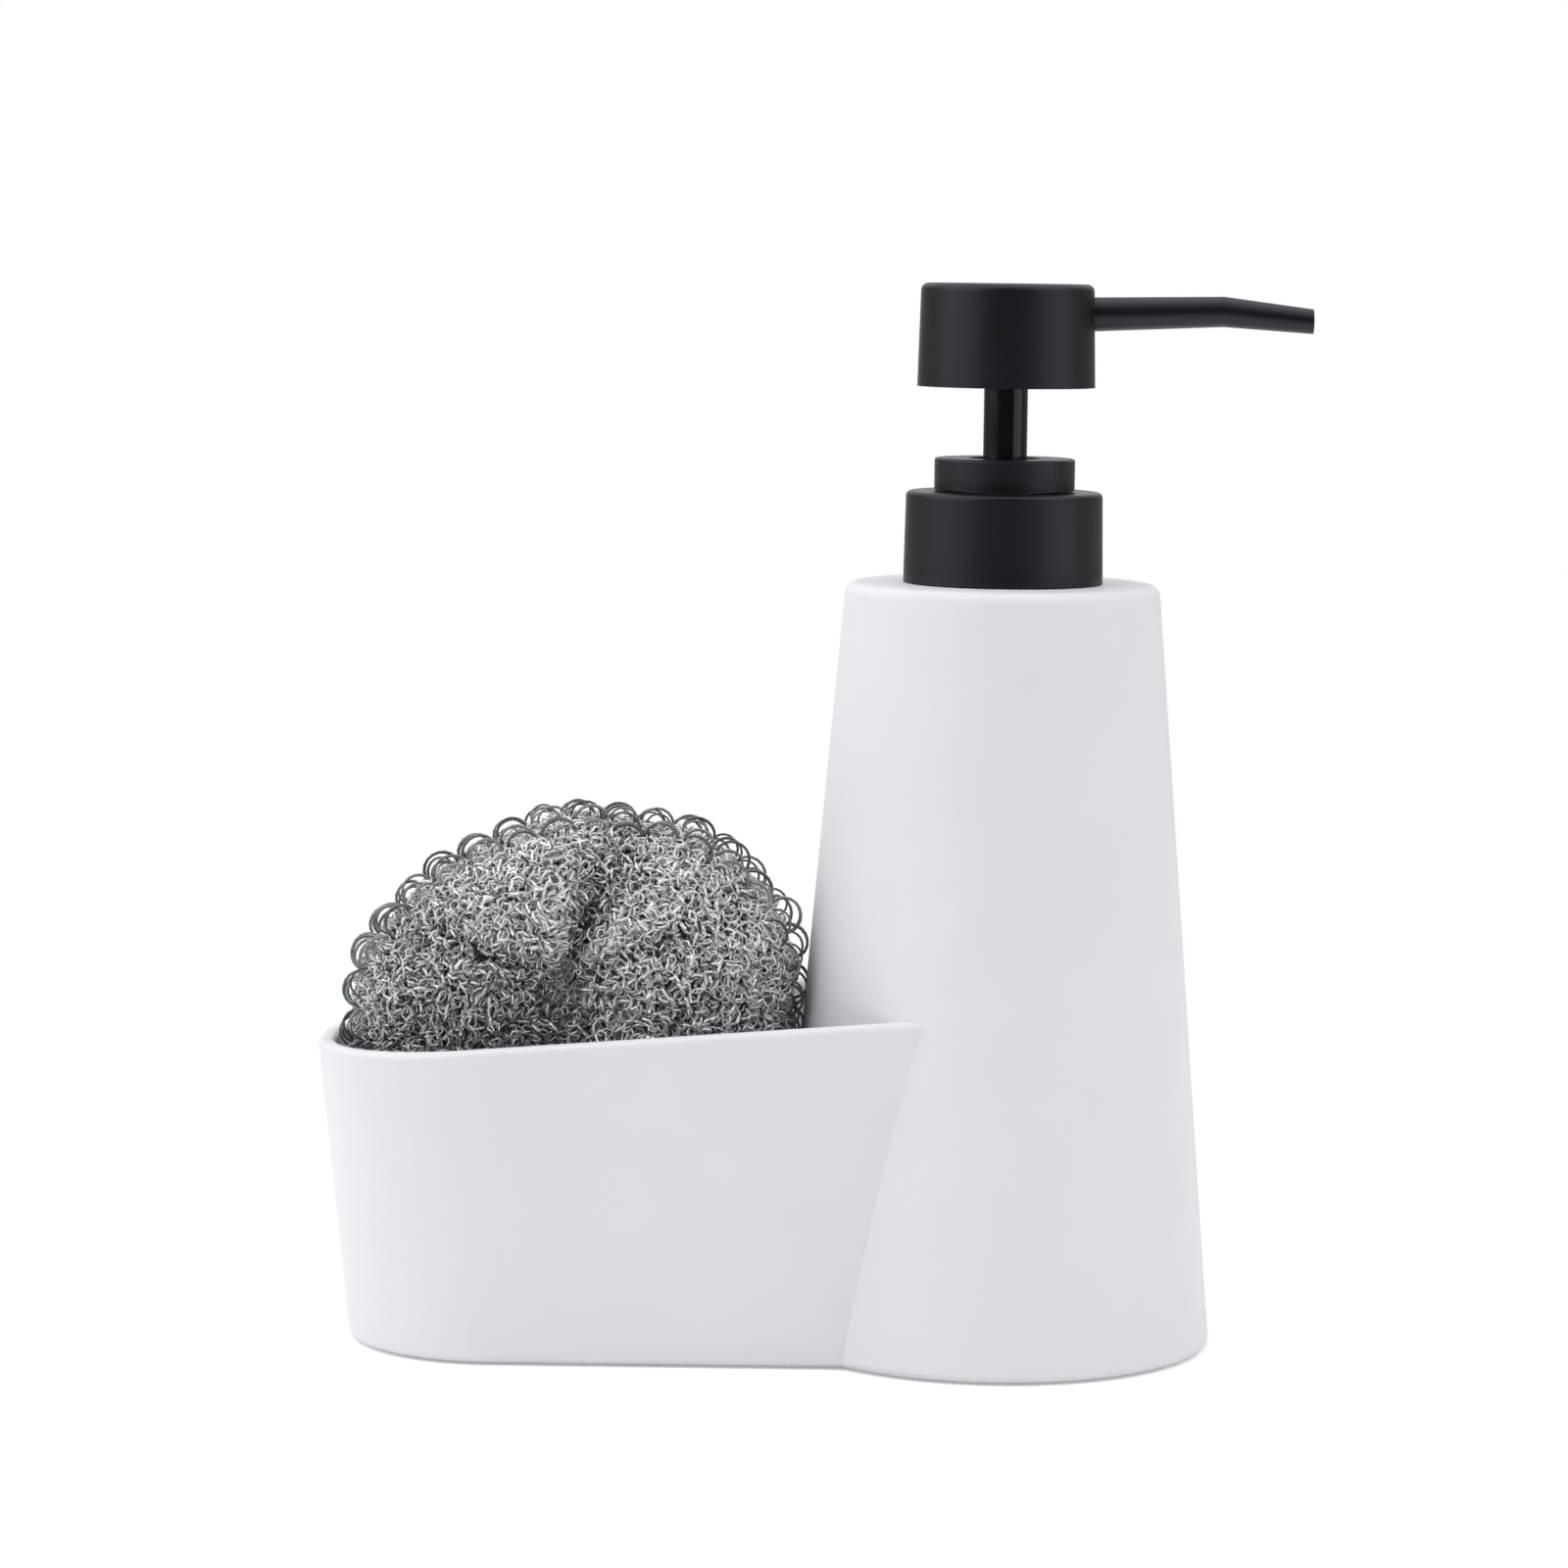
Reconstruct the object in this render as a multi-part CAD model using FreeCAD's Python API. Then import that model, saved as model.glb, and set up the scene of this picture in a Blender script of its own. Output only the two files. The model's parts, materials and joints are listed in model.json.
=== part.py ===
"""A soap pump caddy: a cast resin bottle with a scourer tray grown out of its side, a screw-on lotion
pump and a knitted wire scourer standing in the tray.

Millimetres, +Z up. The origin is on the resting plane, under the axis of the bottle and pump. The tray
lies towards -X and the spout points along +X.
"""

import FreeCAD, Part

import math
import os

Vector = FreeCAD.Vector
UP = Vector(0, 0, 1)
ALONG_X = Vector(1, 0, 0)
ALONG_Y = Vector(0, 1, 0)

# Clearances and working allowances
FIT_GAP = 0.05  # radial gap of pieces that are pressed or glued together
RUN_GAP = 0.06  # radial gap of a piece that slides or turns in another
FACE_GAP = 0.3  # gap between faces that move past each other
OVERRUN = 4.0  # how far a cutting shape runs past the face that it opens
TOUCH = 0.001  # two points nearer than this are one point

# Resin casting, the bottle
PAD_PROUD = 0.5  # the underside stands this far off the resting plane
BOTTLE_BASE_RADIUS = 38.8
BOTTLE_TOP_RADIUS = 27.4
BOTTLE_HEIGHT = 133.8
BOTTLE_WALL = 4.0
BOTTLE_FLOOR = 5.0
BOTTLE_SHOULDER = 5.0
BOTTLE_TOP_ROUND = 2.0
BASE_ROUND = 1.0
CAVITY_ROUND = 4.0

# Resin casting, the tray
TRAY_REACH = 113.6  # bottle axis to the far end, at the underside
TRAY_END_FLARE = 5.7  # how far the end wall leans out, up to the low end of the rim
TRAY_WIDTH = 56.2
TRAY_SIDE_FLARE = 2.5  # how far each side wall leans out over the same height
TRAY_CORNER_SHARE = 0.92  # how much of half the width each end corner's round takes
TRAY_END_HEIGHT = 52.4  # underside to the low end of the rim
TRAY_RIM_RISE = 9.4  # the rim climbs this much from its low end to the bottle axis
TRAY_WALL = 3.2
TRAY_FLOOR = 4.5
TRAY_RIM_ROUND = 1.1
TRAY_RIM_ROUND_SHARE = 0.45  # the most of the wall that one rim round may take
TRAY_FLOOR_ROUND = 4.0

# Base pads
PAD_THICKNESS = 1.5
BOTTLE_PAD_RADIUS = 27.0
TRAY_PAD_RADIUS = 14.0
TRAY_PAD_INSET = 30.0  # the tray's far end, at the underside, to the middle of its pad
PAD_EDGE_ROUND = 0.4

# Neck insert and its screw thread
NECK_RADIUS = 12.4
NECK_WALL = 1.9
NECK_LIP = 0.27  # plain land between the thread's top and the neck's
NECK_PLUG_DEPTH = 6.0
NECK_FLANGE_WIDTH = 0.9
NECK_FLANGE_THICKNESS = 1.0
THREAD_PITCH = 4.2
THREAD_DEPTH = 1.2
THREAD_ROOT_WIDTH = 2.2
THREAD_CREST_WIDTH = 0.9
THREAD_GAP = 0.35  # crest to the wall that it faces
THREAD_EMBED = 0.4  # how far a ridge is rooted in its wall
THREAD_START = 3.4  # bottle's top to the middle of the neck ridge's low end
THREAD_TURNS = 1.15
THREAD_STEPS = 24  # sections in a turn
THREAD_FADE_STEPS = 3  # sections over which a ridge grows to its full depth
THREAD_END_SHARE = 0.1  # share of the full depth at a ridge's very end
CLOSURE_THREAD_LAG = 0.25  # turns by which the closure's ridge starts after the neck's

# Gasket, pump housing and dip tube
GASKET_THICKNESS = 1.5
CYLINDER_RADIUS = 6.6
CYLINDER_DEPTH = 48.0  # flange's underside to the foot of the straight bore
HOUSING_WALL = 1.1
HOUSING_FLANGE_INSET = 0.2  # the flange's edge stands this far inside the neck's
HOUSING_FLANGE_THICKNESS = 1.9
SPIGOT_WALL = 1.45
BALL_RADIUS = 2.6
BALL_SIDE_GAP = 0.5
BALL_LIFT = 1.4
BALL_CHAMBER_HEIGHT = 2.5
INLET_RADIUS = 1.5
INLET_LENGTH = 1.0
DIP_TUBE_RADIUS = 3.0
DIP_TUBE_WALL = 0.9
DIP_SOCKET_WALL = 1.5
DIP_SOCKET_DEPTH = 8.5
DIP_FLOOR_GAP = 5.0
RETAINER_THICKNESS = 1.6
RETAINER_PIN_RADIUS = 1.0
RETAINER_HOLE_RADIUS = 1.1
RETAINER_HOLE_PLACE = 3.4
RETAINER_HOLES = 4

# Collar: the threaded closure and the smooth cover over it
CLOSURE_WALL = 1.7
CLOSURE_TOP = 1.9
CLOSURE_RECESS = 0.5  # the closure's skirt ends this far above the cover's
COVER_WALL = 1.75
COVER_TOP = 0.8
COLLAR_BASE_GAP = 0.2  # cover to the bottle's top
COLLAR_DRAFT = 0.3  # the cover's top is this much smaller in radius
COLLAR_ROUND = 0.9

# Chaplet, the ring that holds the closure on the housing and guides the stem
CHAPLET_RADIUS = 12.27
CHAPLET_HEIGHT = 5.5
CHAPLET_ROUND = 0.5
CHAPLET_SEAT = 0.9  # width of the step in the housing that the plug stands on
CHAPLET_PLUG_LENGTH = 9.0
CHAPLET_DISH_WIDTH = 2.35  # a shallow dish round the stem
CHAPLET_DISH_DEPTH = 0.6

# Plunger: piston, piston rod, return spring
PRESS_STROKE = 11.5
PRESS_END_GAP = 0.9  # head to the chaplet when pressed right down
PISTON_LENGTH = 8.0
PISTON_LIP = 1.8
PISTON_WAIST_DEPTH = 1.0
PISTON_TOP_GAP = 0.5  # piston to the chaplet's plug
ROD_FLANGE_MARGIN = 0.25  # the flange's edge stands this far outside the spring
ROD_FLANGE_THICKNESS = 1.8
ROD_TIP_LENGTH = 9.0  # the rod's length inside the stem
ROD_FLAT = 0.9  # depth of the two flats that let soap past the rod
SPRING_WIRE_RADIUS = 0.45
SPRING_SIDE_GAP = 1.45
SPRING_TURNS = 8

# Stem and head
STEM_RADIUS = 3.85
STEM_WALL = 1.19
STEM_SEAT_GAP = 0.1  # stem to the piston that it drives
HEAD_RADIUS = 15.5
HEAD_DRAFT = 0.45  # the head's top is this much smaller in radius
HEAD_HEIGHT = 17.9
HEAD_TOP_ROUND = 1.3
HEAD_WALL = 1.5
HEAD_TOP = 1.5
CORE_BOSS_WALL = 2.35
CORE_RECESS = 1.0  # the core ends this far above the head's lower edge
CORE_CHANNEL_RADIUS = 2.0
CORE_CHANNEL_RISE = 2.6  # the stem's top to the spout's bore
CORE_WEB_THICKNESS = 1.4
CORE_WEB_RECESS = 4.4  # the webs end this far above the head's lower edge
CORE_WEBS = 3
CORE_BLOCK_WALL = 1.35
SPOUT_ROOF = 0.65  # the head's ceiling to the spout's socket
SPOUT_ROOT_PLACE = 7.5  # pump axis to the spout's inner end
SPOUT_ROOT_RADIUS = 2.96
SPOUT_BEND_RADIUS = 2.64
SPOUT_TIP_RADIUS = 2.09
SPOUT_BORE_RADIUS = 1.3
SPOUT_BEND_REACH = 37.6
SPOUT_BEND_RISE = 0.7
SPOUT_REACH = 53.2
SPOUT_TIP_FALL = 1.5

# Scourer
SCOURER_SHOULDER = 59.0  # the casting's underside to the scourer's widest level
SCOURER_CROWN = 33.6  # widest level to the top
SCOURER_FRONT_GAP = 2.4  # to the tray's front wall, at the underside
SCOURER_BACK_GAP = 8.4
SCOURER_END_GAP = 2.9  # to the end wall and the bottle, at the widest level
SCOURER_GATHER_LIFT = 6.0  # how far the gather lies above the widest level
# Reach at every 15 degrees, from the bottle's side over the top to the far end and back below
SCOURER_OUTLINE_SHARES = [
    1, 1.04, 1.065, 1.055, 1.05, 1.01, 0.99, 0.92, 0.88, 0.89, 0.91, 0.94,
    0.955, 0.965, 0.98, 1, 1, 1, 1, 1, 1, 1, 1, 1,
]
# (share of the reach, share of the half thickness) from the gather out over the lobe to the rim
SCOURER_SECTION_SHARES = [(0.12, 0.62), (0.5, 1), (0.78, 0.85), (0.94, 0.5), (1, 0)]
SCOURER_FOLD_STEP = 5  # which of those angles the fold in front runs out along
SCOURER_FOLD_SHARES = [0, 0.3, 0.28, 0.14, 0]  # share of the half thickness that it takes from each section

# Radii and reaches that follow from a fit
NECK_BORE_RADIUS = NECK_RADIUS - NECK_WALL
NECK_FLANGE_RADIUS = NECK_RADIUS + NECK_FLANGE_WIDTH
MOUTH_RADIUS = NECK_RADIUS + FIT_GAP
CLOSURE_RADIUS = NECK_RADIUS + THREAD_DEPTH + THREAD_GAP
CLOSURE_OUTER_RADIUS = CLOSURE_RADIUS + CLOSURE_WALL
COVER_RADIUS = CLOSURE_OUTER_RADIUS + FIT_GAP
COLLAR_RADIUS = COVER_RADIUS + COVER_WALL
HOUSING_RADIUS = CYLINDER_RADIUS + HOUSING_WALL
HOUSING_FLANGE_RADIUS = NECK_RADIUS - HOUSING_FLANGE_INSET
PLUG_RADIUS = CYLINDER_RADIUS + CHAPLET_SEAT
SPIGOT_BORE_RADIUS = PLUG_RADIUS + FIT_GAP
SPIGOT_RADIUS = SPIGOT_BORE_RADIUS + SPIGOT_WALL
COLLAR_HOLE_RADIUS = SPIGOT_RADIUS + FACE_GAP
BALL_CHAMBER_RADIUS = BALL_RADIUS + BALL_SIDE_GAP
DIP_SOCKET_RADIUS = DIP_TUBE_RADIUS + FIT_GAP
HOUSING_FOOT_RADIUS = DIP_SOCKET_RADIUS + DIP_SOCKET_WALL
SPRING_RADIUS = CYLINDER_RADIUS - SPRING_SIDE_GAP - SPRING_WIRE_RADIUS
ROD_FLANGE_RADIUS = SPRING_RADIUS + SPRING_WIRE_RADIUS + ROD_FLANGE_MARGIN
STEM_BORE_RADIUS = STEM_RADIUS - STEM_WALL
ROD_RADIUS = STEM_BORE_RADIUS - RUN_GAP
STEM_BEARING_RADIUS = STEM_RADIUS + RUN_GAP
STEM_SOCKET_RADIUS = STEM_RADIUS + FIT_GAP
SPOUT_SOCKET_RADIUS = SPOUT_ROOT_RADIUS + FIT_GAP
HEAD_TOP_RADIUS = HEAD_RADIUS - HEAD_DRAFT
TRAY_RIM_REACH = TRAY_REACH + TRAY_END_FLARE
TRAY_RIM_WIDTH = TRAY_WIDTH + 2 * TRAY_SIDE_FLARE

# Heights of the faces that pieces share
BODY_Z = PAD_PROUD
BOTTLE_TOP_Z = BODY_Z + BOTTLE_HEIGHT
BOTTLE_FLOOR_Z = BODY_Z + BOTTLE_FLOOR
THREAD_Z = BOTTLE_TOP_Z + THREAD_START
NECK_TOP_Z = THREAD_Z + THREAD_TURNS * THREAD_PITCH + THREAD_ROOT_WIDTH / 2 + NECK_LIP
FLANGE_Z = NECK_TOP_Z + GASKET_THICKNESS
FLANGE_TOP_Z = FLANGE_Z + HOUSING_FLANGE_THICKNESS
CLOSURE_TOP_Z = FLANGE_TOP_Z + FACE_GAP + CLOSURE_TOP
COLLAR_TOP_Z = CLOSURE_TOP_Z + COVER_TOP
COLLAR_Z = BOTTLE_TOP_Z + COLLAR_BASE_GAP
CHAPLET_Z = COLLAR_TOP_Z + FACE_GAP
CHAPLET_TOP_Z = CHAPLET_Z + CHAPLET_HEIGHT
PLUG_Z = CHAPLET_Z - CHAPLET_PLUG_LENGTH
CYLINDER_Z = FLANGE_Z - CYLINDER_DEPTH
SPRING_Z = CYLINDER_Z + RETAINER_THICKNESS
BALL_CHAMBER_TOP_Z = CYLINDER_Z - (CYLINDER_RADIUS - BALL_CHAMBER_RADIUS)
BALL_SEAT_Z = BALL_CHAMBER_TOP_Z - BALL_CHAMBER_HEIGHT
INLET_TOP_Z = BALL_SEAT_Z - (BALL_CHAMBER_RADIUS - INLET_RADIUS)
BALL_Z = INLET_TOP_Z - INLET_RADIUS + BALL_RADIUS * math.sqrt(2) + RUN_GAP
DIP_SOCKET_Z = INLET_TOP_Z - INLET_LENGTH
HOUSING_FOOT_Z = DIP_SOCKET_Z - DIP_SOCKET_DEPTH
PISTON_TOP_Z = PLUG_Z - PISTON_TOP_GAP
PISTON_Z = PISTON_TOP_Z - PISTON_LENGTH
ROD_Z = PISTON_Z - ROD_FLANGE_THICKNESS
HEAD_Z = CHAPLET_TOP_Z + PRESS_STROKE + PRESS_END_GAP
HEAD_TOP_Z = HEAD_Z + HEAD_HEIGHT
HEAD_CEILING_Z = HEAD_TOP_Z - HEAD_TOP
CORE_Z = HEAD_Z + CORE_RECESS
SPOUT_Z = HEAD_CEILING_Z - SPOUT_ROOF - SPOUT_SOCKET_RADIUS
STEM_TOP_Z = SPOUT_Z - SPOUT_BORE_RADIUS - CORE_CHANNEL_RISE


def cone_radius(height):
    """Outer radius of the bottle at a height above its underside."""
    return BOTTLE_BASE_RADIUS + (BOTTLE_TOP_RADIUS - BOTTLE_BASE_RADIUS) * height / BOTTLE_HEIGHT


def rounded_face(corners):
    """A face in the XZ plane from (x, z, round) corners, each corner rounded by its own radius."""
    edges = []
    ends = []
    count = len(corners)
    for i, (x, z, radius) in enumerate(corners):
        point = Vector(x, 0, z)
        before = Vector(corners[i - 1][0], 0, corners[i - 1][1]) - point
        after = Vector(corners[(i + 1) % count][0], 0, corners[(i + 1) % count][1]) - point
        before.normalize()
        after.normalize()
        if not radius:
            ends.append((point, point))
            continue
        half = before.getAngle(after) / 2
        reach = radius / math.tan(half)
        middle = before + after
        middle.normalize()
        start, stop = point + before * reach, point + after * reach
        crown = point + middle * (radius / math.sin(half) - radius)
        edges.append(Part.Arc(start, crown, stop).toShape())
        ends.append((start, stop))
    for i, (start, _) in enumerate(ends):
        leaving = ends[i - 1][1]
        if leaving.distanceToPoint(start) > TOUCH:
            edges.append(Part.LineSegment(leaving, start).toShape())
    return Part.Face(Part.Wire(Part.__sortEdges__(edges)))


def turned(corners):
    """A solid turned about Z from (radius, height) or (radius, height, round) corners."""
    full = [(c[0], c[1], c[2] if len(c) > 2 else 0) for c in corners]
    return rounded_face(full).revolve(Vector(0, 0, 0), UP, 360)


def ring(inner, outer, low, high):
    """A plain ring about Z."""
    return turned([(inner, low), (outer, low), (outer, high), (inner, high)])


def rod(radius, low, high, x=0, y=0):
    """A plain upright cylinder."""
    return Part.makeCylinder(radius, high - low, Vector(x, y, low), UP)


# The tray, as a straight-sided vessel that grows with height

def tray_outline(height, inset, end_x):
    """The tray's outline at a height above the underside, drawn in by inset and closed at end_x."""
    grown = height / TRAY_END_HEIGHT
    reach = TRAY_REACH + TRAY_END_FLARE * grown - inset
    outer_half = TRAY_WIDTH / 2 + TRAY_SIDE_FLARE * grown
    half = outer_half - inset
    corner = TRAY_CORNER_SHARE * outer_half - inset
    bite = corner * (1 - math.sqrt(0.5))
    z = BODY_Z + height

    def at(x, y):
        return Vector(x, y, z)

    front, back = -half, half
    edges = [
        Part.LineSegment(at(end_x, front), at(corner - reach, front)),
        Part.Arc(at(corner - reach, front), at(bite - reach, front + bite), at(-reach, corner - half)),
        Part.LineSegment(at(-reach, corner - half), at(-reach, half - corner)),
        Part.Arc(at(-reach, half - corner), at(bite - reach, back - bite), at(corner - reach, back)),
        Part.LineSegment(at(corner - reach, back), at(end_x, back)),
        Part.LineSegment(at(end_x, back), at(end_x, front)),
    ]
    return Part.Wire([edge.toShape() for edge in edges])


def tray_block(low, high, inset, end_x, foot_round):
    """A solid with the tray's sides between two heights, its foot rounded all round but at end_x."""
    block = Part.makeLoft([tray_outline(low, inset, end_x), tray_outline(high, inset, end_x)], True, True)
    foot = []
    for edge in block.Edges:
        box = edge.BoundBox
        if box.ZMax - BODY_Z - low < TOUCH and end_x - box.XMin > TOUCH:
            foot.append(edge)
    return block.makeFillet(foot_round, foot)


def rim_z(x):
    """Height of the rim's sloping plane."""
    return BODY_Z + TRAY_END_HEIGHT + TRAY_RIM_RISE * (x + TRAY_RIM_REACH) / TRAY_RIM_REACH


def tray_shell():
    """The tray's wall and floor with its sloping, rounded rim, open where it runs into the bottle."""
    top = TRAY_END_HEIGHT + TRAY_RIM_RISE + OVERRUN
    shell = tray_block(0, top, 0, 0, BASE_ROUND)
    far, near = -TRAY_RIM_REACH - OVERRUN, OVERRUN
    sky = BODY_Z + top + OVERRUN
    above = Part.makePolygon(
        [Vector(far, 0, rim_z(far)), Vector(near, 0, rim_z(near)), Vector(near, 0, sky), Vector(far, 0, sky),
         Vector(far, 0, rim_z(far))]
    )
    reach_y = TRAY_RIM_WIDTH
    slab = Part.Face(above).extrude(ALONG_Y * (2 * reach_y))
    slab.translate(ALONG_Y * -reach_y)
    hollow = tray_block(TRAY_FLOOR, top + OVERRUN, TRAY_WALL, OVERRUN, TRAY_FLOOR_ROUND)
    shell = shell.cut(slab).cut(hollow)
    rim = []
    for edge in shell.Edges:
        on_rim = all(abs(v.Z - rim_z(v.X)) < TOUCH for v in edge.Vertexes)
        if on_rim and edge.BoundBox.XMin < -TOUCH:
            rim.append(edge)
    return shell.makeFillet(min(TRAY_RIM_ROUND, TRAY_RIM_ROUND_SHARE * TRAY_WALL), rim)


def pad_places():
    """(x, radius) of the bottle's base pad and of the tray's."""
    return [(0, BOTTLE_PAD_RADIUS), (TRAY_PAD_INSET - TRAY_REACH, TRAY_PAD_RADIUS)]


def caddy_body():
    """The one-piece casting: bottle and tray, hollow, with the mouth and the pad pockets."""
    outside = turned(
        [
            (0, BODY_Z),
            (BOTTLE_BASE_RADIUS, BODY_Z, BASE_ROUND),
            (BOTTLE_TOP_RADIUS, BOTTLE_TOP_Z, BOTTLE_TOP_ROUND),
            (0, BOTTLE_TOP_Z),
        ]
    )
    ceiling_z = BOTTLE_TOP_Z - BOTTLE_SHOULDER
    cavity = turned(
        [
            (0, BOTTLE_FLOOR_Z),
            (cone_radius(BOTTLE_FLOOR) - BOTTLE_WALL, BOTTLE_FLOOR_Z, CAVITY_ROUND),
            (cone_radius(BOTTLE_HEIGHT - BOTTLE_SHOULDER) - BOTTLE_WALL, ceiling_z, CAVITY_ROUND),
            (MOUTH_RADIUS, ceiling_z),
            (MOUTH_RADIUS, BOTTLE_TOP_Z + OVERRUN),
            (0, BOTTLE_TOP_Z + OVERRUN),
        ]
    )
    body = outside.fuse(tray_shell()).cut(cavity)
    pocket_depth = PAD_THICKNESS - PAD_PROUD
    for x, radius in pad_places():
        body = body.cut(rod(radius + FIT_GAP, BODY_Z - OVERRUN, BODY_Z + pocket_depth, x))
    return body


def base_pad(x, radius):
    """A soft disc stuck in a pocket of the underside."""
    pad = turned([(0, 0), (radius, 0, PAD_EDGE_ROUND), (radius, PAD_THICKNESS), (0, PAD_THICKNESS)])
    pad.translate(ALONG_X * x)
    return pad


def bottle_pad():
    """The base pad under the bottle."""
    return base_pad(*pad_places()[0])


def tray_pad():
    """The base pad under the tray."""
    return base_pad(*pad_places()[1])


# Screw thread

def thread_ridge(root, crest, low_z, first_turn):
    """A helical ridge from a wall of radius root to crest, its middle at low_z where first_turn is 0."""
    outward = math.copysign(1, crest - root)
    count = round(THREAD_TURNS * THREAD_STEPS)
    sections = []
    for i in range(count + 1):
        turn = first_turn + i / THREAD_STEPS
        fade = min(1, THREAD_END_SHARE + min(i, count - i) / THREAD_FADE_STEPS)
        angle = 2 * math.pi * turn
        middle = low_z + THREAD_PITCH * turn
        foot = root - outward * THREAD_EMBED
        tip = root + (crest - root) * fade
        shape = [
            (foot, -THREAD_ROOT_WIDTH / 2),
            (tip, -THREAD_CREST_WIDTH / 2),
            (tip, THREAD_CREST_WIDTH / 2),
            (foot, THREAD_ROOT_WIDTH / 2),
        ]
        points = [Vector(r * math.cos(angle), r * math.sin(angle), middle + z) for r, z in shape]
        sections.append(Part.makePolygon(points + points[:1]))
    return Part.makeLoft(sections, True, True)


def neck_insert():
    """The threaded neck glued into the casting's mouth."""
    neck = turned(
        [
            (NECK_BORE_RADIUS, BOTTLE_TOP_Z - NECK_PLUG_DEPTH),
            (NECK_RADIUS, BOTTLE_TOP_Z - NECK_PLUG_DEPTH),
            (NECK_RADIUS, BOTTLE_TOP_Z),
            (NECK_FLANGE_RADIUS, BOTTLE_TOP_Z),
            (NECK_FLANGE_RADIUS, BOTTLE_TOP_Z + NECK_FLANGE_THICKNESS),
            (NECK_RADIUS, BOTTLE_TOP_Z + NECK_FLANGE_THICKNESS),
            (NECK_RADIUS, NECK_TOP_Z),
            (NECK_BORE_RADIUS, NECK_TOP_Z),
        ]
    )
    return neck.fuse(thread_ridge(NECK_RADIUS, NECK_RADIUS + THREAD_DEPTH, THREAD_Z, 0))


# Collar

def threaded_closure():
    """The inner cap that screws on the neck and clamps the housing's flange."""
    plate_z = CLOSURE_TOP_Z - CLOSURE_TOP
    low = COLLAR_Z + CLOSURE_RECESS
    cap = turned(
        [
            (CLOSURE_RADIUS, low),
            (CLOSURE_OUTER_RADIUS, low),
            (CLOSURE_OUTER_RADIUS, CLOSURE_TOP_Z),
            (COLLAR_HOLE_RADIUS, CLOSURE_TOP_Z),
            (COLLAR_HOLE_RADIUS, plate_z),
            (CLOSURE_RADIUS, plate_z),
        ]
    )
    crest = CLOSURE_RADIUS - THREAD_DEPTH
    between = THREAD_Z - THREAD_PITCH / 2
    return cap.fuse(thread_ridge(CLOSURE_RADIUS, crest, between, CLOSURE_THREAD_LAG))


def collar_cover():
    """The smooth outer sleeve pressed over the closure."""
    return turned(
        [
            (COVER_RADIUS, COLLAR_Z),
            (COLLAR_RADIUS, COLLAR_Z),
            (COLLAR_RADIUS - COLLAR_DRAFT, COLLAR_TOP_Z, COLLAR_ROUND),
            (COLLAR_HOLE_RADIUS, COLLAR_TOP_Z),
            (COLLAR_HOLE_RADIUS, CLOSURE_TOP_Z),
            (COVER_RADIUS, CLOSURE_TOP_Z),
        ]
    )


# Pump housing and what is fixed in it

def pump_housing():
    """The pump's cylinder with its flange, spigot, ball seat and dip tube socket."""
    return turned(
        [
            (HOUSING_RADIUS, FLANGE_Z),
            (HOUSING_FLANGE_RADIUS, FLANGE_Z),
            (HOUSING_FLANGE_RADIUS, FLANGE_TOP_Z),
            (SPIGOT_RADIUS, FLANGE_TOP_Z),
            (SPIGOT_RADIUS, CHAPLET_Z),
            (SPIGOT_BORE_RADIUS, CHAPLET_Z),
            (SPIGOT_BORE_RADIUS, PLUG_Z),
            (CYLINDER_RADIUS, PLUG_Z),
            (CYLINDER_RADIUS, CYLINDER_Z),
            (BALL_CHAMBER_RADIUS, BALL_CHAMBER_TOP_Z),
            (BALL_CHAMBER_RADIUS, BALL_SEAT_Z),
            (INLET_RADIUS, INLET_TOP_Z),
            (INLET_RADIUS, DIP_SOCKET_Z),
            (DIP_SOCKET_RADIUS, DIP_SOCKET_Z),
            (DIP_SOCKET_RADIUS, HOUSING_FOOT_Z),
            (HOUSING_FOOT_RADIUS, HOUSING_FOOT_Z),
            (HOUSING_FOOT_RADIUS, BALL_SEAT_Z),
            (HOUSING_RADIUS, CYLINDER_Z),
        ]
    )


def neck_gasket():
    """The sealing ring between the neck and the housing's flange."""
    return ring(HOUSING_RADIUS + FIT_GAP, HOUSING_FLANGE_RADIUS, NECK_TOP_Z, FLANGE_Z)


def chaplet():
    """The upper step of the collar: a ring plugged into the housing, with the stem's bearing through it."""
    dish = STEM_BEARING_RADIUS + CHAPLET_DISH_WIDTH
    return turned(
        [
            (STEM_BEARING_RADIUS, PLUG_Z),
            (PLUG_RADIUS, PLUG_Z),
            (PLUG_RADIUS, CHAPLET_Z),
            (CHAPLET_RADIUS, CHAPLET_Z),
            (CHAPLET_RADIUS, CHAPLET_TOP_Z, CHAPLET_ROUND),
            (dish, CHAPLET_TOP_Z),
            (dish, CHAPLET_TOP_Z - CHAPLET_DISH_DEPTH),
            (STEM_BEARING_RADIUS, CHAPLET_TOP_Z - CHAPLET_DISH_DEPTH),
        ]
    )


def inlet_ball():
    """The steel ball of the inlet valve, on its seat."""
    return Part.makeSphere(BALL_RADIUS, Vector(0, 0, BALL_Z))


def ball_retainer():
    """The pierced disc that seats the spring, with a pin that stops the ball."""
    disc = rod(CYLINDER_RADIUS - FIT_GAP, CYLINDER_Z, SPRING_Z)
    for i in range(RETAINER_HOLES):
        angle = 2 * math.pi * i / RETAINER_HOLES
        x, y = RETAINER_HOLE_PLACE * math.cos(angle), RETAINER_HOLE_PLACE * math.sin(angle)
        disc = disc.cut(rod(RETAINER_HOLE_RADIUS, CYLINDER_Z - OVERRUN, SPRING_Z + OVERRUN, x, y))
    return disc.fuse(rod(RETAINER_PIN_RADIUS, BALL_Z + BALL_RADIUS + BALL_LIFT, SPRING_Z))


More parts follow.
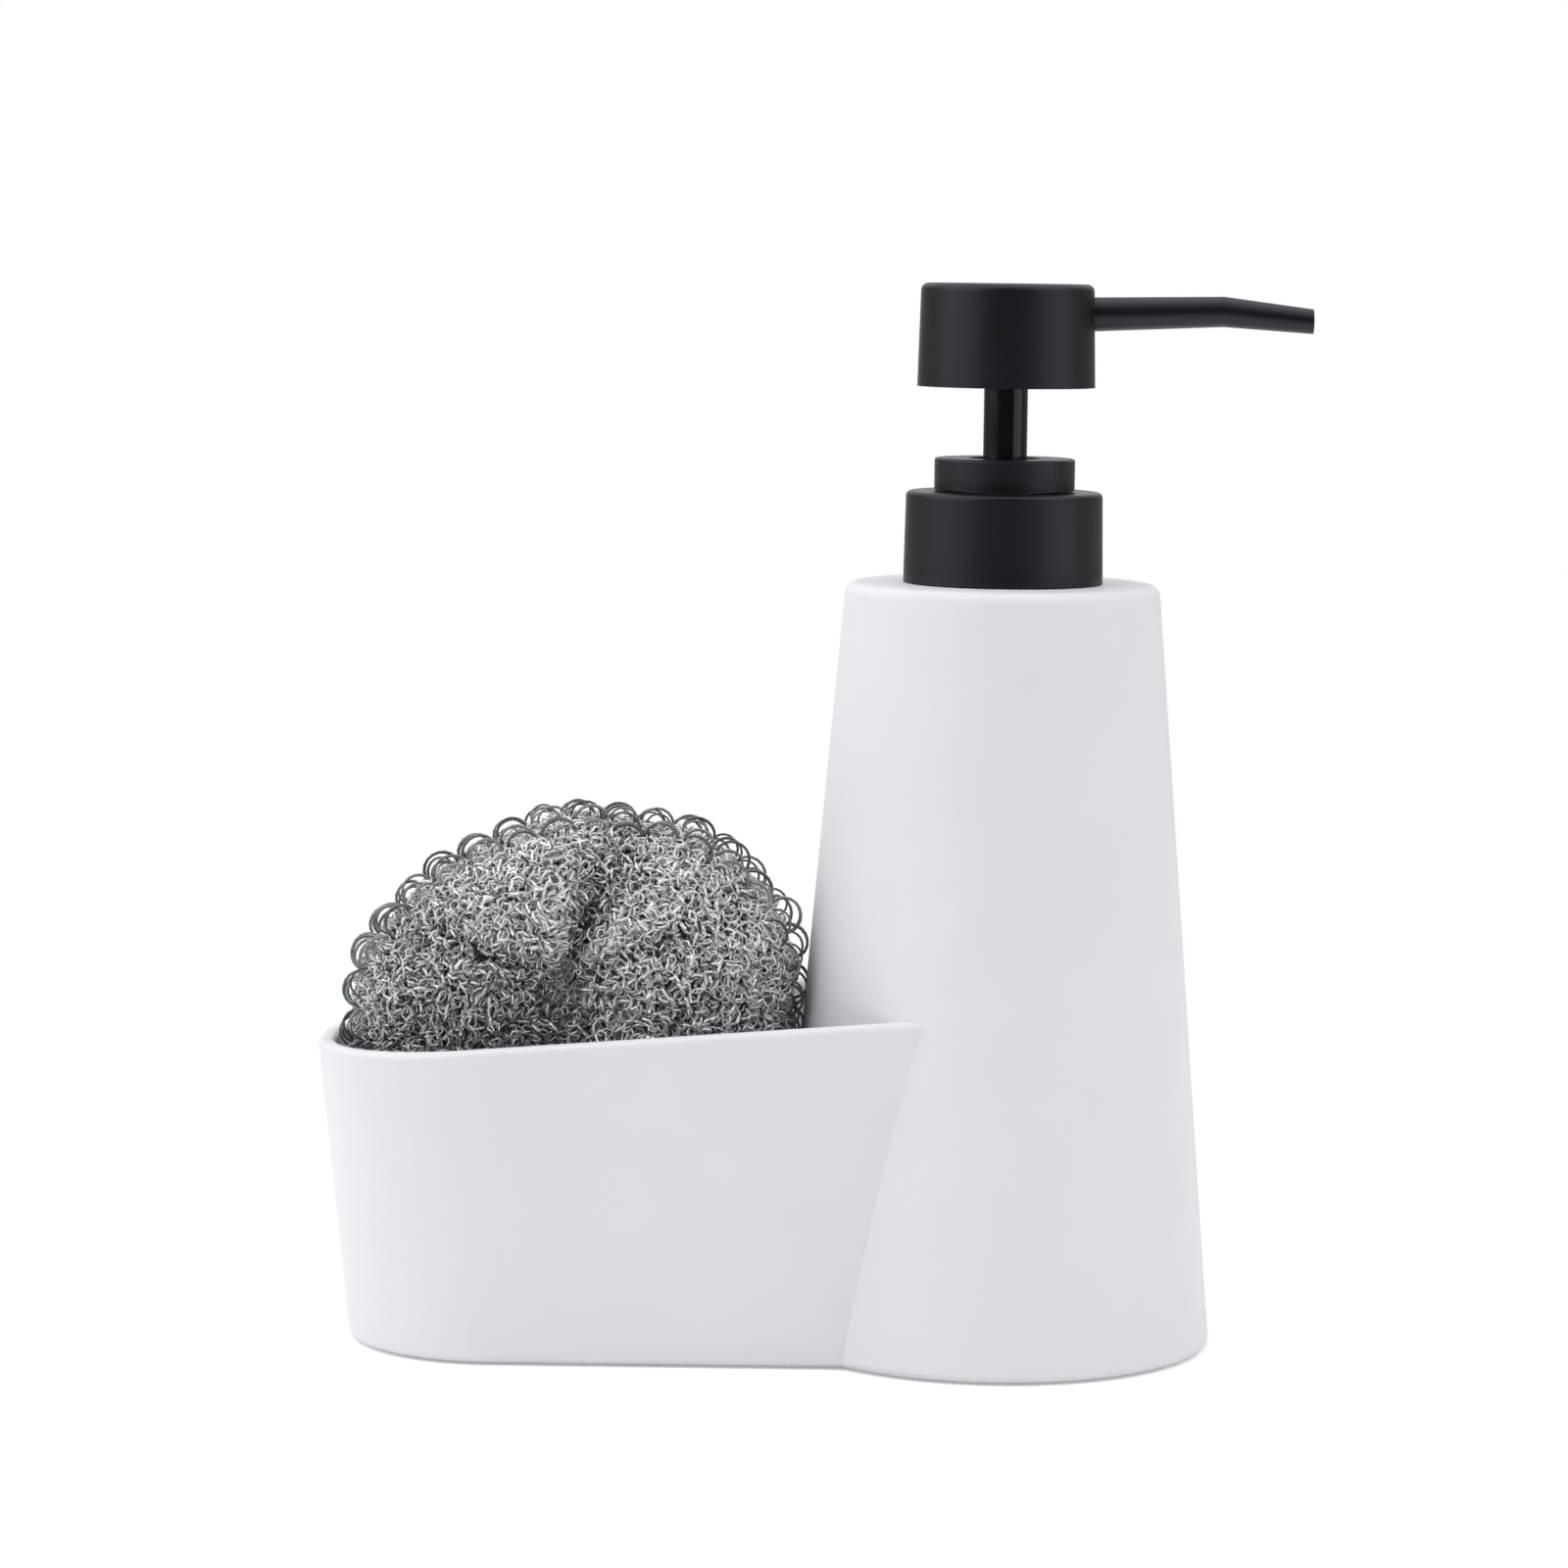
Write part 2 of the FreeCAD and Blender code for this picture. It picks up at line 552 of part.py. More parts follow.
def dip_tube():
    """The suction tube, cut slantwise at its foot."""
    top = DIP_SOCKET_Z
    low = BOTTLE_FLOOR_Z + DIP_FLOOR_GAP
    tube = ring(DIP_TUBE_RADIUS - DIP_TUBE_WALL, DIP_TUBE_RADIUS, low, top)
    wedge = Part.makePolygon(
        [Vector(-DIP_TUBE_RADIUS, 0, low), Vector(DIP_TUBE_RADIUS, 0, low),
         Vector(DIP_TUBE_RADIUS, 0, low + 2 * DIP_TUBE_RADIUS), Vector(-DIP_TUBE_RADIUS, 0, low)]
    )
    slant = Part.Face(wedge).extrude(ALONG_Y * (2 * DIP_TUBE_RADIUS))
    slant.translate(ALONG_Y * -DIP_TUBE_RADIUS)
    return tube.cut(slant)


# Return spring

def biarc(start, start_way, stop, stop_way):
    """Two arcs that join two points and meet both directions."""
    span = stop - start
    ways = start_way + stop_way
    a = 2 * (start_way.dot(stop_way) - 1)
    b = -2 * span.dot(ways)
    c = span.dot(span)
    reach = (-b - math.sqrt(b * b - 4 * a * c)) / (2 * a)
    first, second = start + start_way * reach, stop - stop_way * reach
    middle = (first + second) * 0.5
    arcs = []
    for p, q, r in ((start, first, middle), (middle, second, stop)):
        chord = (p + r) * 0.5
        half = (r - p).Length / 2
        sag = (q - chord).Length
        rise = half * math.tan(math.atan2(sag, half) / 2)
        crown = chord + (q - chord) * (rise / sag)
        arcs.append(Part.Arc(p, crown, r).toShape())
    return arcs


def return_spring():
    """The coil that lifts the plunger, wound between the retainer and the rod's flange."""
    low = SPRING_Z + SPRING_WIRE_RADIUS
    pitch = (ROD_Z - SPRING_WIRE_RADIUS - low) / SPRING_TURNS
    climb = pitch / (2 * math.pi)

    def place(turn):
        angle = 2 * math.pi * turn
        point = Vector(SPRING_RADIUS * math.cos(angle), SPRING_RADIUS * math.sin(angle), low + pitch * turn)
        way = Vector(-SPRING_RADIUS * math.sin(angle), SPRING_RADIUS * math.cos(angle), climb)
        way.normalize()
        return point, way

    edges = []
    quarters = 4 * SPRING_TURNS
    for i in range(quarters):
        edges += biarc(*place(i / 4), *place((i + 1) / 4))
    start, way = place(0)
    wire = Part.Wire(Part.makeCircle(SPRING_WIRE_RADIUS, start, way))
    print(f"return spring: least gap between turns {pitch - 2 * SPRING_WIRE_RADIUS:.2f} mm")
    return Part.Wire(edges).makePipeShell([wire], True, False)


# Plunger

def piston():
    """The two-lipped cup that slides in the housing."""
    lip = CYLINDER_RADIUS - RUN_GAP
    waist = lip - PISTON_WAIST_DEPTH
    return turned(
        [
            (ROD_RADIUS + FIT_GAP, PISTON_Z),
            (lip, PISTON_Z),
            (lip, PISTON_Z + PISTON_LIP),
            (waist, PISTON_Z + 2 * PISTON_LIP),
            (waist, PISTON_TOP_Z - 2 * PISTON_LIP),
            (lip, PISTON_TOP_Z - PISTON_LIP),
            (lip, PISTON_TOP_Z),
            (ROD_RADIUS + FIT_GAP, PISTON_TOP_Z),
        ]
    )


def piston_rod():
    """The rod through the piston, flanged below for the spring and flatted above to pass the soap."""
    top = PISTON_TOP_Z + ROD_TIP_LENGTH
    shape = turned(
        [
            (0, ROD_Z),
            (ROD_FLANGE_RADIUS, ROD_Z),
            (ROD_FLANGE_RADIUS, PISTON_Z),
            (ROD_RADIUS, PISTON_Z),
            (ROD_RADIUS, top),
            (0, top),
        ]
    )
    for side in (-1, 1):
        near = side * (ROD_RADIUS - ROD_FLAT)
        corner = Vector(min(near, near + side * ROD_RADIUS), -ROD_RADIUS, PISTON_TOP_Z)
        shape = shape.cut(Part.makeBox(ROD_RADIUS, 2 * ROD_RADIUS, ROD_TIP_LENGTH + OVERRUN, corner))
    return shape


# Head

def stem():
    """The hollow stem from the piston up into the head."""
    return ring(STEM_BORE_RADIUS, STEM_RADIUS, PISTON_TOP_Z + STEM_SEAT_GAP, STEM_TOP_Z)


def head_cover():
    """The cap that the hand presses, open below, with the hole for the spout."""
    cover = turned(
        [
            (0, HEAD_CEILING_Z),
            (HEAD_TOP_RADIUS - HEAD_WALL, HEAD_CEILING_Z),
            (HEAD_RADIUS - HEAD_WALL, HEAD_Z),
            (HEAD_RADIUS, HEAD_Z),
            (HEAD_TOP_RADIUS, HEAD_TOP_Z, HEAD_TOP_ROUND),
            (0, HEAD_TOP_Z),
        ]
    )
    hole = Part.makeCylinder(SPOUT_SOCKET_RADIUS, HEAD_RADIUS + OVERRUN, Vector(0, 0, SPOUT_Z), ALONG_X)
    return cover.cut(hole)


def head_core():
    """The inner actuator: stem socket, soap channel, spout block and webs that carry the cover."""
    edge = HEAD_TOP_RADIUS - HEAD_WALL - FIT_GAP
    core = rod(STEM_SOCKET_RADIUS + CORE_BOSS_WALL, CORE_Z, HEAD_CEILING_Z)

    def arm(half_width, low):
        return Part.makeBox(edge, 2 * half_width, HEAD_CEILING_Z - low, Vector(0, -half_width, low))

    for i in range(CORE_WEBS):
        web = arm(CORE_WEB_THICKNESS / 2, HEAD_Z + CORE_WEB_RECESS)
        web.rotate(Vector(0, 0, 0), UP, 360 * (i + 1) / (CORE_WEBS + 1))
        core = core.fuse(web)
    block_half = SPOUT_SOCKET_RADIUS + CORE_BLOCK_WALL
    core = core.fuse(arm(block_half, SPOUT_Z - block_half))
    core = core.common(rod(edge, CORE_Z, HEAD_CEILING_Z))
    core = core.cut(rod(STEM_SOCKET_RADIUS, CORE_Z - OVERRUN, STEM_TOP_Z))
    core = core.cut(rod(CORE_CHANNEL_RADIUS, CORE_Z, SPOUT_Z + SPOUT_BORE_RADIUS))
    core = core.cut(Part.makeCylinder(SPOUT_BORE_RADIUS, HEAD_RADIUS, Vector(0, 0, SPOUT_Z), ALONG_X))
    root = Vector(SPOUT_ROOT_PLACE, 0, SPOUT_Z)
    return core.cut(Part.makeCylinder(SPOUT_SOCKET_RADIUS, HEAD_RADIUS, root, ALONG_X))


def run(start, stop, start_radius, stop_radius):
    """A straight run of round bar between two points, tapered where the radii differ."""
    way = stop - start
    if abs(start_radius - stop_radius) < TOUCH:
        return Part.makeCylinder(start_radius, way.Length, start, way)
    return Part.makeCone(start_radius, stop_radius, way.Length, start, way)


def spout():
    """The bent, tapering tube, its end cut upright."""
    inner = Vector(SPOUT_ROOT_PLACE, 0, SPOUT_Z)
    root = Vector(HEAD_RADIUS, 0, SPOUT_Z)
    bend = Vector(SPOUT_BEND_REACH, 0, SPOUT_Z + SPOUT_BEND_RISE)
    tip = Vector(SPOUT_REACH, 0, bend.z - SPOUT_TIP_FALL)
    past = tip + (tip - bend) * (SPOUT_TIP_RADIUS / (tip - bend).Length)
    bar = run(inner, root, SPOUT_ROOT_RADIUS, SPOUT_ROOT_RADIUS)
    bore = run(inner, root, SPOUT_BORE_RADIUS, SPOUT_BORE_RADIUS)
    for start, stop, start_radius, stop_radius in (
        (root, bend, SPOUT_ROOT_RADIUS, SPOUT_BEND_RADIUS),
        (bend, past, SPOUT_BEND_RADIUS, SPOUT_TIP_RADIUS),
    ):
        bar = bar.fuse(run(start, stop, start_radius, stop_radius))
        bar = bar.fuse(Part.makeSphere(start_radius, start))
        bore = bore.fuse(run(start, stop, SPOUT_BORE_RADIUS, SPOUT_BORE_RADIUS))
        bore = bore.fuse(Part.makeSphere(SPOUT_BORE_RADIUS, start))
    size = 2 * SPOUT_ROOT_RADIUS + OVERRUN
    end = Part.makeBox(size, size, size, Vector(SPOUT_REACH, -size / 2, tip.z - size / 2))
    return bar.cut(bore).cut(end)


# Scourer

def scourer_place():
    """(centre of the widest level, half length, half thickness), between the end wall and the bottle."""
    grown = SCOURER_SHOULDER / TRAY_END_HEIGHT
    wall_x = TRAY_WALL - TRAY_REACH - TRAY_END_FLARE * grown
    bottle_x = -cone_radius(SCOURER_SHOULDER)
    half_length = (bottle_x - wall_x) / 2 - SCOURER_END_GAP
    inner_half = TRAY_WIDTH / 2 - TRAY_WALL
    front_y = SCOURER_FRONT_GAP - inner_half
    back_y = inner_half - SCOURER_BACK_GAP
    centre = Vector((wall_x + bottle_x) / 2, (front_y + back_y) / 2, BODY_Z + SCOURER_SHOULDER)
    return centre, half_length, (back_y - front_y) / 2


def scourer_ring(out_share, thick_share, fold_share):
    """One closed section of the scourer, drawn round its axis from the front gather to the back one."""
    centre, half_length, half_thickness = scourer_place()
    depth = SCOURER_SHOULDER - TRAY_FLOOR - FACE_GAP
    points = []
    for step, reach_share in enumerate(SCOURER_OUTLINE_SHARES):
        turn = 2 * math.pi * step / len(SCOURER_OUTLINE_SHARES)
        half_height = SCOURER_CROWN if math.sin(turn) > 0 else depth
        along = half_length * reach_share * out_share * math.cos(turn)
        rise = half_height * reach_share * out_share * math.sin(turn)
        folded_share = thick_share + fold_share if step == SCOURER_FOLD_STEP else thick_share
        lift = SCOURER_GATHER_LIFT * (1 - out_share)
        points.append(centre + Vector(along, half_thickness * folded_share, rise + lift))
    ring = Part.BSplineCurve()
    ring.interpolate(points, PeriodicFlag=True)
    return Part.Wire([ring.toShape()])


def scourer():
    """A bun on its edge, gathered to a dimple in each face, with a fold from its crown down the front."""
    rings = []
    for (out_share, thick_share), fold_share in zip(SCOURER_SECTION_SHARES, SCOURER_FOLD_SHARES):
        rings.append(scourer_ring(out_share, -thick_share, fold_share))
    for out_share, thick_share in reversed(SCOURER_SECTION_SHARES[:-1]):
        rings.append(scourer_ring(out_share, thick_share, 0))
    return Part.makeLoft(rings, True)


NODES = [
    caddy_body,
    bottle_pad,
    tray_pad,
    neck_insert,
    threaded_closure,
    collar_cover,
    neck_gasket,
    pump_housing,
    chaplet,
    ball_retainer,
    inlet_ball,
    dip_tube,
    return_spring,
    piston,
    piston_rod,
    stem,
    head_core,
    head_cover,
    spout,
    scourer,
]


def main():
    """Build every node and write it to parts/NODE.step."""
    os.makedirs("parts", exist_ok=True)
    for node in NODES:
        shape = node()
        solids = shape.Solids
        sound = bool(solids) and all(solid.isValid() and solid.Volume > 0 for solid in solids)
        state = "sound" if sound else "NOT SOUND"
        print(f"{node.__name__}: {len(solids)} solid(s), {shape.Volume:.1f} mm3, {state}")
        Part.makeCompound(solids).exportStep(f"parts/{node.__name__}.step")


main()
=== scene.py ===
"""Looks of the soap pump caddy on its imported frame: a white cast resin bottle with a scourer tray, a black
lotion pump and a knitted steel scourer. Metres, +Z up, in the frame's own axes."""

import enum
import json
import logging
import math
from dataclasses import dataclass
from typing import Any

import bpy
import numpy as np
from mathutils import Matrix, Vector

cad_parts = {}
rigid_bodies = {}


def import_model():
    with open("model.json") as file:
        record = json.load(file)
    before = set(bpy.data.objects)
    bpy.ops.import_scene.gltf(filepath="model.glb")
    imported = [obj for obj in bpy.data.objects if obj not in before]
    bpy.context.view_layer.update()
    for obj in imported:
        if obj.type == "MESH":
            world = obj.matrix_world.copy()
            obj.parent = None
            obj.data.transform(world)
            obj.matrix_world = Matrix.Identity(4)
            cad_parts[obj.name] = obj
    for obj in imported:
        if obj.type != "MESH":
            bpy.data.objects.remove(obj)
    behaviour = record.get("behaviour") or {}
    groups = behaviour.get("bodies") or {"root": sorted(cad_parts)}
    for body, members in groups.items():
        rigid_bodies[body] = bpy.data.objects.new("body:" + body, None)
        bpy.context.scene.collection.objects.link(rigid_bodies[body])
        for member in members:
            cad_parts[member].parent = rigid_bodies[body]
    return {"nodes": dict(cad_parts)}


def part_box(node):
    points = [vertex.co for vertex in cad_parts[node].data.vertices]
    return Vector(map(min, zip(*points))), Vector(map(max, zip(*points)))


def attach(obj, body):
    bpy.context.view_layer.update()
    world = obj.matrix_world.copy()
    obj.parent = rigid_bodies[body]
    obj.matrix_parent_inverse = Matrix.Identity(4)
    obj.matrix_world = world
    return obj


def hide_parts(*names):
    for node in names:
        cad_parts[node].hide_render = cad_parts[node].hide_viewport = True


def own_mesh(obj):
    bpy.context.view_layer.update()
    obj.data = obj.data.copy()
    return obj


LOG = logging.getLogger("soap_pump_caddy")
MM = 0.001
TINY = 1e-12  # the least length that a vector is divided by
NOISE_RANGE = (0.3, 0.7)  # the middle range of a noise, which finishes spread their values over

for leftover in list(bpy.data.objects):
    bpy.data.objects.remove(leftover)
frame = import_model()


def linear(code: str) -> tuple[float, float, float, float]:
    """Turn an sRGB hex colour into linear RGBA.

    Args:
        code: The colour as "#RRGGBB".

    Returns:
        Linear red, green and blue, with full alpha.
    """
    shares = [int(code[i:i + 2], 16) / 255 for i in (1, 3, 5)]
    red, green, blue = (s / 12.92 if s <= 0.04045 else ((s + 0.055) / 1.055) ** 2.4 for s in shares)
    return red, green, blue, 1.0


def feed(node: bpy.types.Node, inputs: dict[Any, Any]) -> None:
    """Set or link a node's inputs.

    Args:
        node: The node to feed.
        inputs: Socket name or number, with a value to set or a socket to link from.
    """
    for socket, value in inputs.items():
        if isinstance(value, bpy.types.NodeSocket):
            node.id_data.links.new(value, node.inputs[socket])
        else:
            node.inputs[socket].default_value = value


def add_node(
    tree: bpy.types.NodeTree, kind: str, inputs: dict[Any, Any] | None = None, **settings: Any
) -> Any:
    """Add a node with its settings and links.

    Args:
        tree: The tree that gets the node.
        kind: Blender's name for the node.
        inputs: Socket name or number, with a value to set or a socket to link from.
        **settings: The node's own properties.

    Returns:
        The new node.
    """
    node = tree.nodes.new(kind)
    for name, value in settings.items():
        setattr(node, name, value)
    feed(node, inputs or {})
    return node


def combine(tree: bpy.types.NodeTree, operation: str, first: Any, second: Any) -> Any:
    """Join two values by a Math node and give the result's socket."""
    return add_node(tree, "ShaderNodeMath", {0: first, 1: second}, operation=operation).outputs[0]


def map_range(
    tree: bpy.types.NodeTree,
    value: Any,
    source: tuple[float, float],
    target: tuple[float, float] = (0.0, 1.0),
    **settings: Any
) -> Any:
    """Map a value's range onto another one.

    Args:
        tree: The tree that gets the node.
        value: The value's socket.
        source: The ends of the value's range.
        target: What these ends become.
        **settings: The node's own properties.

    Returns:
        The mapped value's socket.
    """
    inputs = {
        "Value": value,
        "From Min": source[0],
        "From Max": source[1],
        "To Min": target[0],
        "To Max": target[1],
    }
    return add_node(tree, "ShaderNodeMapRange", inputs, **settings).outputs["Result"]


def grown_tree(name: str, inputs: dict[str, str]) -> bpy.types.NodeTree:
    """Start a Geometry Nodes tree.

    Args:
        name: The tree's name.
        inputs: Named inputs after the geometry, with the kind of each socket.

    Returns:
        The tree with its sockets, still without nodes.
    """
    tree = bpy.data.node_groups.new(name, "GeometryNodeTree")
    tree.interface.new_socket("Geometry", in_out="INPUT", socket_type="NodeSocketGeometry")
    for label, kind in inputs.items():
        tree.interface.new_socket(label, in_out="INPUT", socket_type=kind)
    tree.interface.new_socket("Geometry", in_out="OUTPUT", socket_type="NodeSocketGeometry")
    return tree


def end_tree(tree: bpy.types.NodeTree, last: Any, finish: Any) -> None:
    """End a Geometry Nodes tree in plain geometry with a material.

    Args:
        tree: The tree to end.
        last: The socket of the geometry so far.
        finish: The material's socket.
    """
    plain = add_node(tree, "GeometryNodeRealizeInstances", {"Geometry": last})
    dressed = add_node(tree, "GeometryNodeSetMaterial", {"Geometry": plain.outputs[0], "Material": finish})
    add_node(tree, "NodeGroupOutput", {"Geometry": dressed.outputs[0]})


def grown_piece(name: str, seed: bpy.types.Mesh, tree: bpy.types.NodeTree, values: dict[str, Any]) -> Any:
    """Run a tree on a seed mesh and keep the result as a plain mesh.

    Args:
        name: The new piece's name.
        seed: The mesh that the tree starts from.
        tree: The Geometry Nodes tree.
        values: A value for each named input.

    Returns:
        The new piece, at the origin.
    """
    carrier = bpy.data.objects.new(name + "_seed", seed)
    bpy.context.scene.collection.objects.link(carrier)
    modifier = carrier.modifiers.new(tree.name, "NODES")
    modifier.node_group = tree
    for item in tree.interface.items_tree:
        if item.in_out == "INPUT" and item.name in values:
            modifier[item.identifier] = values[item.name]
    bpy.context.view_layer.update()
    graph = bpy.context.evaluated_depsgraph_get()
    mesh = bpy.data.meshes.new_from_object(carrier.evaluated_get(graph), depsgraph=graph)
    bpy.data.objects.remove(carrier)
    return placed(name, mesh)


def placed(name: str, mesh: bpy.types.Mesh) -> bpy.types.Object:
    """Put a mesh into the scene under a piece's name."""
    mesh.name = name
    piece = bpy.data.objects.new(name, mesh)
    bpy.context.scene.collection.objects.link(piece)
    return piece


class Slot(enum.Enum):
    """The record's material slots for wire and steel, by name."""

    WIRE = "scourer_wire"
    STEEL = "steel"


class Shading:
    """A material in the making, with its tree, its shader and the piece's Object coordinates."""

    def __init__(self, name: str) -> None:
        """Start a material under the real material's name."""
        self.material = bpy.data.materials.new(name)
        self.material.use_nodes = True
        self.tree = self.material.node_tree
        self.surface = self.tree.nodes["Principled BSDF"]
        self.place = add_node(self.tree, "ShaderNodeTexCoord").outputs["Object"]

    def grain(self, size: float, detail: float = 2.0) -> Any:
        """Add an even noise whose grains have a real size.

        Args:
            size: Width of a grain in metres.
            detail: How many finer layers the noise has.

        Returns:
            The noise's value socket.
        """
        inputs = {"Vector": self.place, "Scale": 1 / size, "Detail": detail}
        return add_node(self.tree, "ShaderNodeTexNoise", inputs).outputs["Fac"]

    def between(self, share: Any, low: float, high: float) -> Any:
        """Spread a noise's middle range between two values.

        Args:
            share: The noise's value socket.
            low: The value at the noise's low end.
            high: The value at its high end.

        Returns:
            The spread value's socket.
        """
        return map_range(self.tree, share, NOISE_RANGE, (low, high))

    def mixed(self, share: Any, first: str, second: str) -> Any:
        """Mix two hex colours by a share and give the colour's socket."""
        inputs = {0: share, 6: linear(first), 7: linear(second)}
        return add_node(self.tree, "ShaderNodeMix", inputs, data_type="RGBA").outputs[2]

    def bump(self, height: Any, depth: float, strength: float) -> Any:
        """Turn a height into a bumped normal.

        Args:
            height: The height's value socket.
            depth: What a height of 1 stands for, in metres.
            strength: Share of the bump that shows.

        Returns:
            The normal's socket.
        """
        inputs = {"Height": height, "Distance": depth, "Strength": strength}
        return add_node(self.tree, "ShaderNodeBump", inputs).outputs["Normal"]


class Finish:
    """A finish that makes its own material.

    In each finish, roughness gives the least and the most over the surface's grain, and relief the depth of
    the bumps in metres and the share of it that shows.
    """

    def material(self) -> bpy.types.Material:
        """Make the finish's material."""
        raise NotImplementedError


@dataclass(frozen=True)
class CastResin(Finish):
    """Polyester resin with white pigment and stone powder, cast in a silicone mould.

    The eye sees a soft matt white with the faintest clouds where the powder settled, and no moulding grain.
    """

    pale: str = "#EBE9EE"
    settled: str = "#E5E3E9"
    cloud: float = 17 * MM
    cloud_layers: float = 3.0
    pore: float = 0.5 * MM  # real pores are finer, drawn so that they just show
    roughness: tuple[float, float] = (0.5, 0.6)
    relief: tuple[float, float] = (0.05 * MM, 0.12)
    ior: float = 1.52

    def material(self) -> bpy.types.Material:
        """Make the resin's material."""
        make = Shading("cast_polyester_resin")
        skin = make.grain(self.pore)
        feed(make.surface, {
            "Base Color": make.mixed(make.grain(self.cloud, self.cloud_layers), self.pale, self.settled),
            "Roughness": make.between(skin, *self.roughness),
            "Normal": make.bump(skin, *self.relief),
            "IOR": self.ior,
        })
        return make.material


@dataclass(frozen=True)
class MouldedPolypropylene(Finish):
    """Black polypropylene, injection moulded in a finely spark-eroded tool.

    The eye sees a satin black with a broad soft shine and a slight cool cast where the light rakes it.
    """

    dark: str = "#09080B"
    worn: str = "#0D0C10"
    shine: str = "#EDEBFF"
    cloud: float = 6 * MM
    tool_grain: float = 0.28 * MM  # drawn coarser than a real tool's grain, so that it shows
    roughness: tuple[float, float] = (0.36, 0.44)
    relief: tuple[float, float] = (0.03 * MM, 0.15)
    ior: float = 1.49

    def material(self) -> bpy.types.Material:
        """Make the black plastic's material."""
        make = Shading("moulded_black_polypropylene")
        grain = make.grain(self.tool_grain)
        feed(make.surface, {
            "Base Color": make.mixed(make.grain(self.cloud), self.dark, self.worn),
            "Roughness": make.between(grain, *self.roughness),
            "Normal": make.bump(grain, *self.relief),
            "Specular Tint": linear(self.shine),
            "IOR": self.ior,
        })
        return make.material


@dataclass(frozen=True)
class PolishedAcetal(Finish):
    """Black acetal, moulded in a polished tool: a glossy bar with crisp upright reflections."""

    dark: str = "#09090B"
    flow: str = "#0E0E11"
    ripple: float = 2.4 * MM
    roughness: tuple[float, float] = (0.12, 0.17)
    relief: tuple[float, float] = (0.02 * MM, 0.2)
    ior: float = 1.48

    def material(self) -> bpy.types.Material:
        """Make the stem's material."""
        make = Shading("polished_black_acetal")
        ripple = make.grain(self.ripple)
        feed(make.surface, {
            "Base Color": make.mixed(ripple, self.dark, self.flow),
            "Roughness": make.between(ripple, *self.roughness),
            "Normal": make.bump(ripple, *self.relief),
            "IOR": self.ior,
        })
        return make.material


@dataclass(frozen=True)
class NaturalPlastic(Finish):
    """Unpigmented polyolefin, moulded or extruded: milky, waxy, a little light goes in."""

    name: str = "natural_polypropylene"
    milky: str = "#E6E5DE"
    waxy: str = "#D9D8D0"
    depth: float = 1.2 * MM
    share: float = 0.25
    flow: float = 4 * MM
    flow_layers: float = 3.0
    skin: float = 0.4 * MM
    roughness: tuple[float, float] = (0.34, 0.44)
    relief: tuple[float, float] = (0.02 * MM, 0.1)
    ior: float = 1.5

    def material(self) -> bpy.types.Material:
        """Make the milky plastic's material."""
        make = Shading(self.name)
        flow = make.grain(self.flow, self.flow_layers)
        feed(make.surface, {
            "Base Color": make.mixed(flow, self.milky, self.waxy),
            "Roughness": make.between(flow, *self.roughness),
            "Normal": make.bump(make.grain(self.skin), *self.relief),
            "Subsurface Weight": self.share,
            "Subsurface Scale": self.depth,
            "IOR": self.ior,
        })
        return make.material


@dataclass(frozen=True)
class FoamPad(Finish):
    """Closed-cell EVA foam, die-cut from sheet: dull dark grey with small open cells on the cut face."""

    cell_colour: str = "#3B3B3F"
    wall_colour: str = "#56565A"
    cell: float = 0.7 * MM
    roughness: tuple[float, float] = (0.82, 0.92)
    relief: tuple[float, float] = (0.2 * MM, 0.5)

    def material(self) -> bpy.types.Material:
        """Make the pads' material."""
        make = Shading("closed_cell_eva_foam")
        inputs = {"Vector": make.place, "Scale": 1 / self.cell}
        cells = add_node(make.tree, "ShaderNodeTexVoronoi", inputs).outputs["Distance"]
        feed(make.surface, {
            "Base Color": make.mixed(cells, self.cell_colour, self.wall_colour),
            "Roughness": make.between(cells, *self.roughness),
            "Normal": make.bump(cells, *self.relief),
        })
        return make.material


@dataclass(frozen=True)
class SealRubber(Finish):
    """Soft nitrile sheet, stamped: grey, dull, with a fine calendered grain."""

    grey: str = "#77767A"
    bloom: str = "#87868A"
    bloom_patch: float = 3 * MM
    sheet_grain: float = 0.35 * MM
    roughness: tuple[float, float] = (0.6, 0.72)
    relief: tuple[float, float] = (0.03 * MM, 0.2)

    def material(self) -> bpy.types.Material:
        """Make the gasket's material."""
        make = Shading("stamped_nitrile_rubber")
        grain = make.grain(self.sheet_grain)
        feed(make.surface, {
            "Base Color": make.mixed(make.grain(self.bloom_patch), self.grey, self.bloom),
            "Roughness": make.between(grain, *self.roughness),
            "Normal": make.bump(grain, *self.relief),
        })
        return make.material


@dataclass(frozen=True)
class StainlessSteel(Finish):
    """Stainless steel, drawn to wire or ground to a ball: bright, with fine marks of the die or the stone."""

    bright: str = "#C9CACA"
    marked: str = "#A9AAAB"
    mark: float = 0.25 * MM
    roughness: tuple[float, float] = (0.16, 0.28)

    def material(self) -> bpy.types.Material:
        """Make the steel's material."""
        make = Shading("drawn_stainless_steel")
        marks = make.grain(self.mark)
        feed(make.surface, {
            "Base Color": make.mixed(marks, self.bright, self.marked),
            "Roughness": make.between(marks, *self.roughness),
            "Metallic": 1.0,
        })
        return make.material


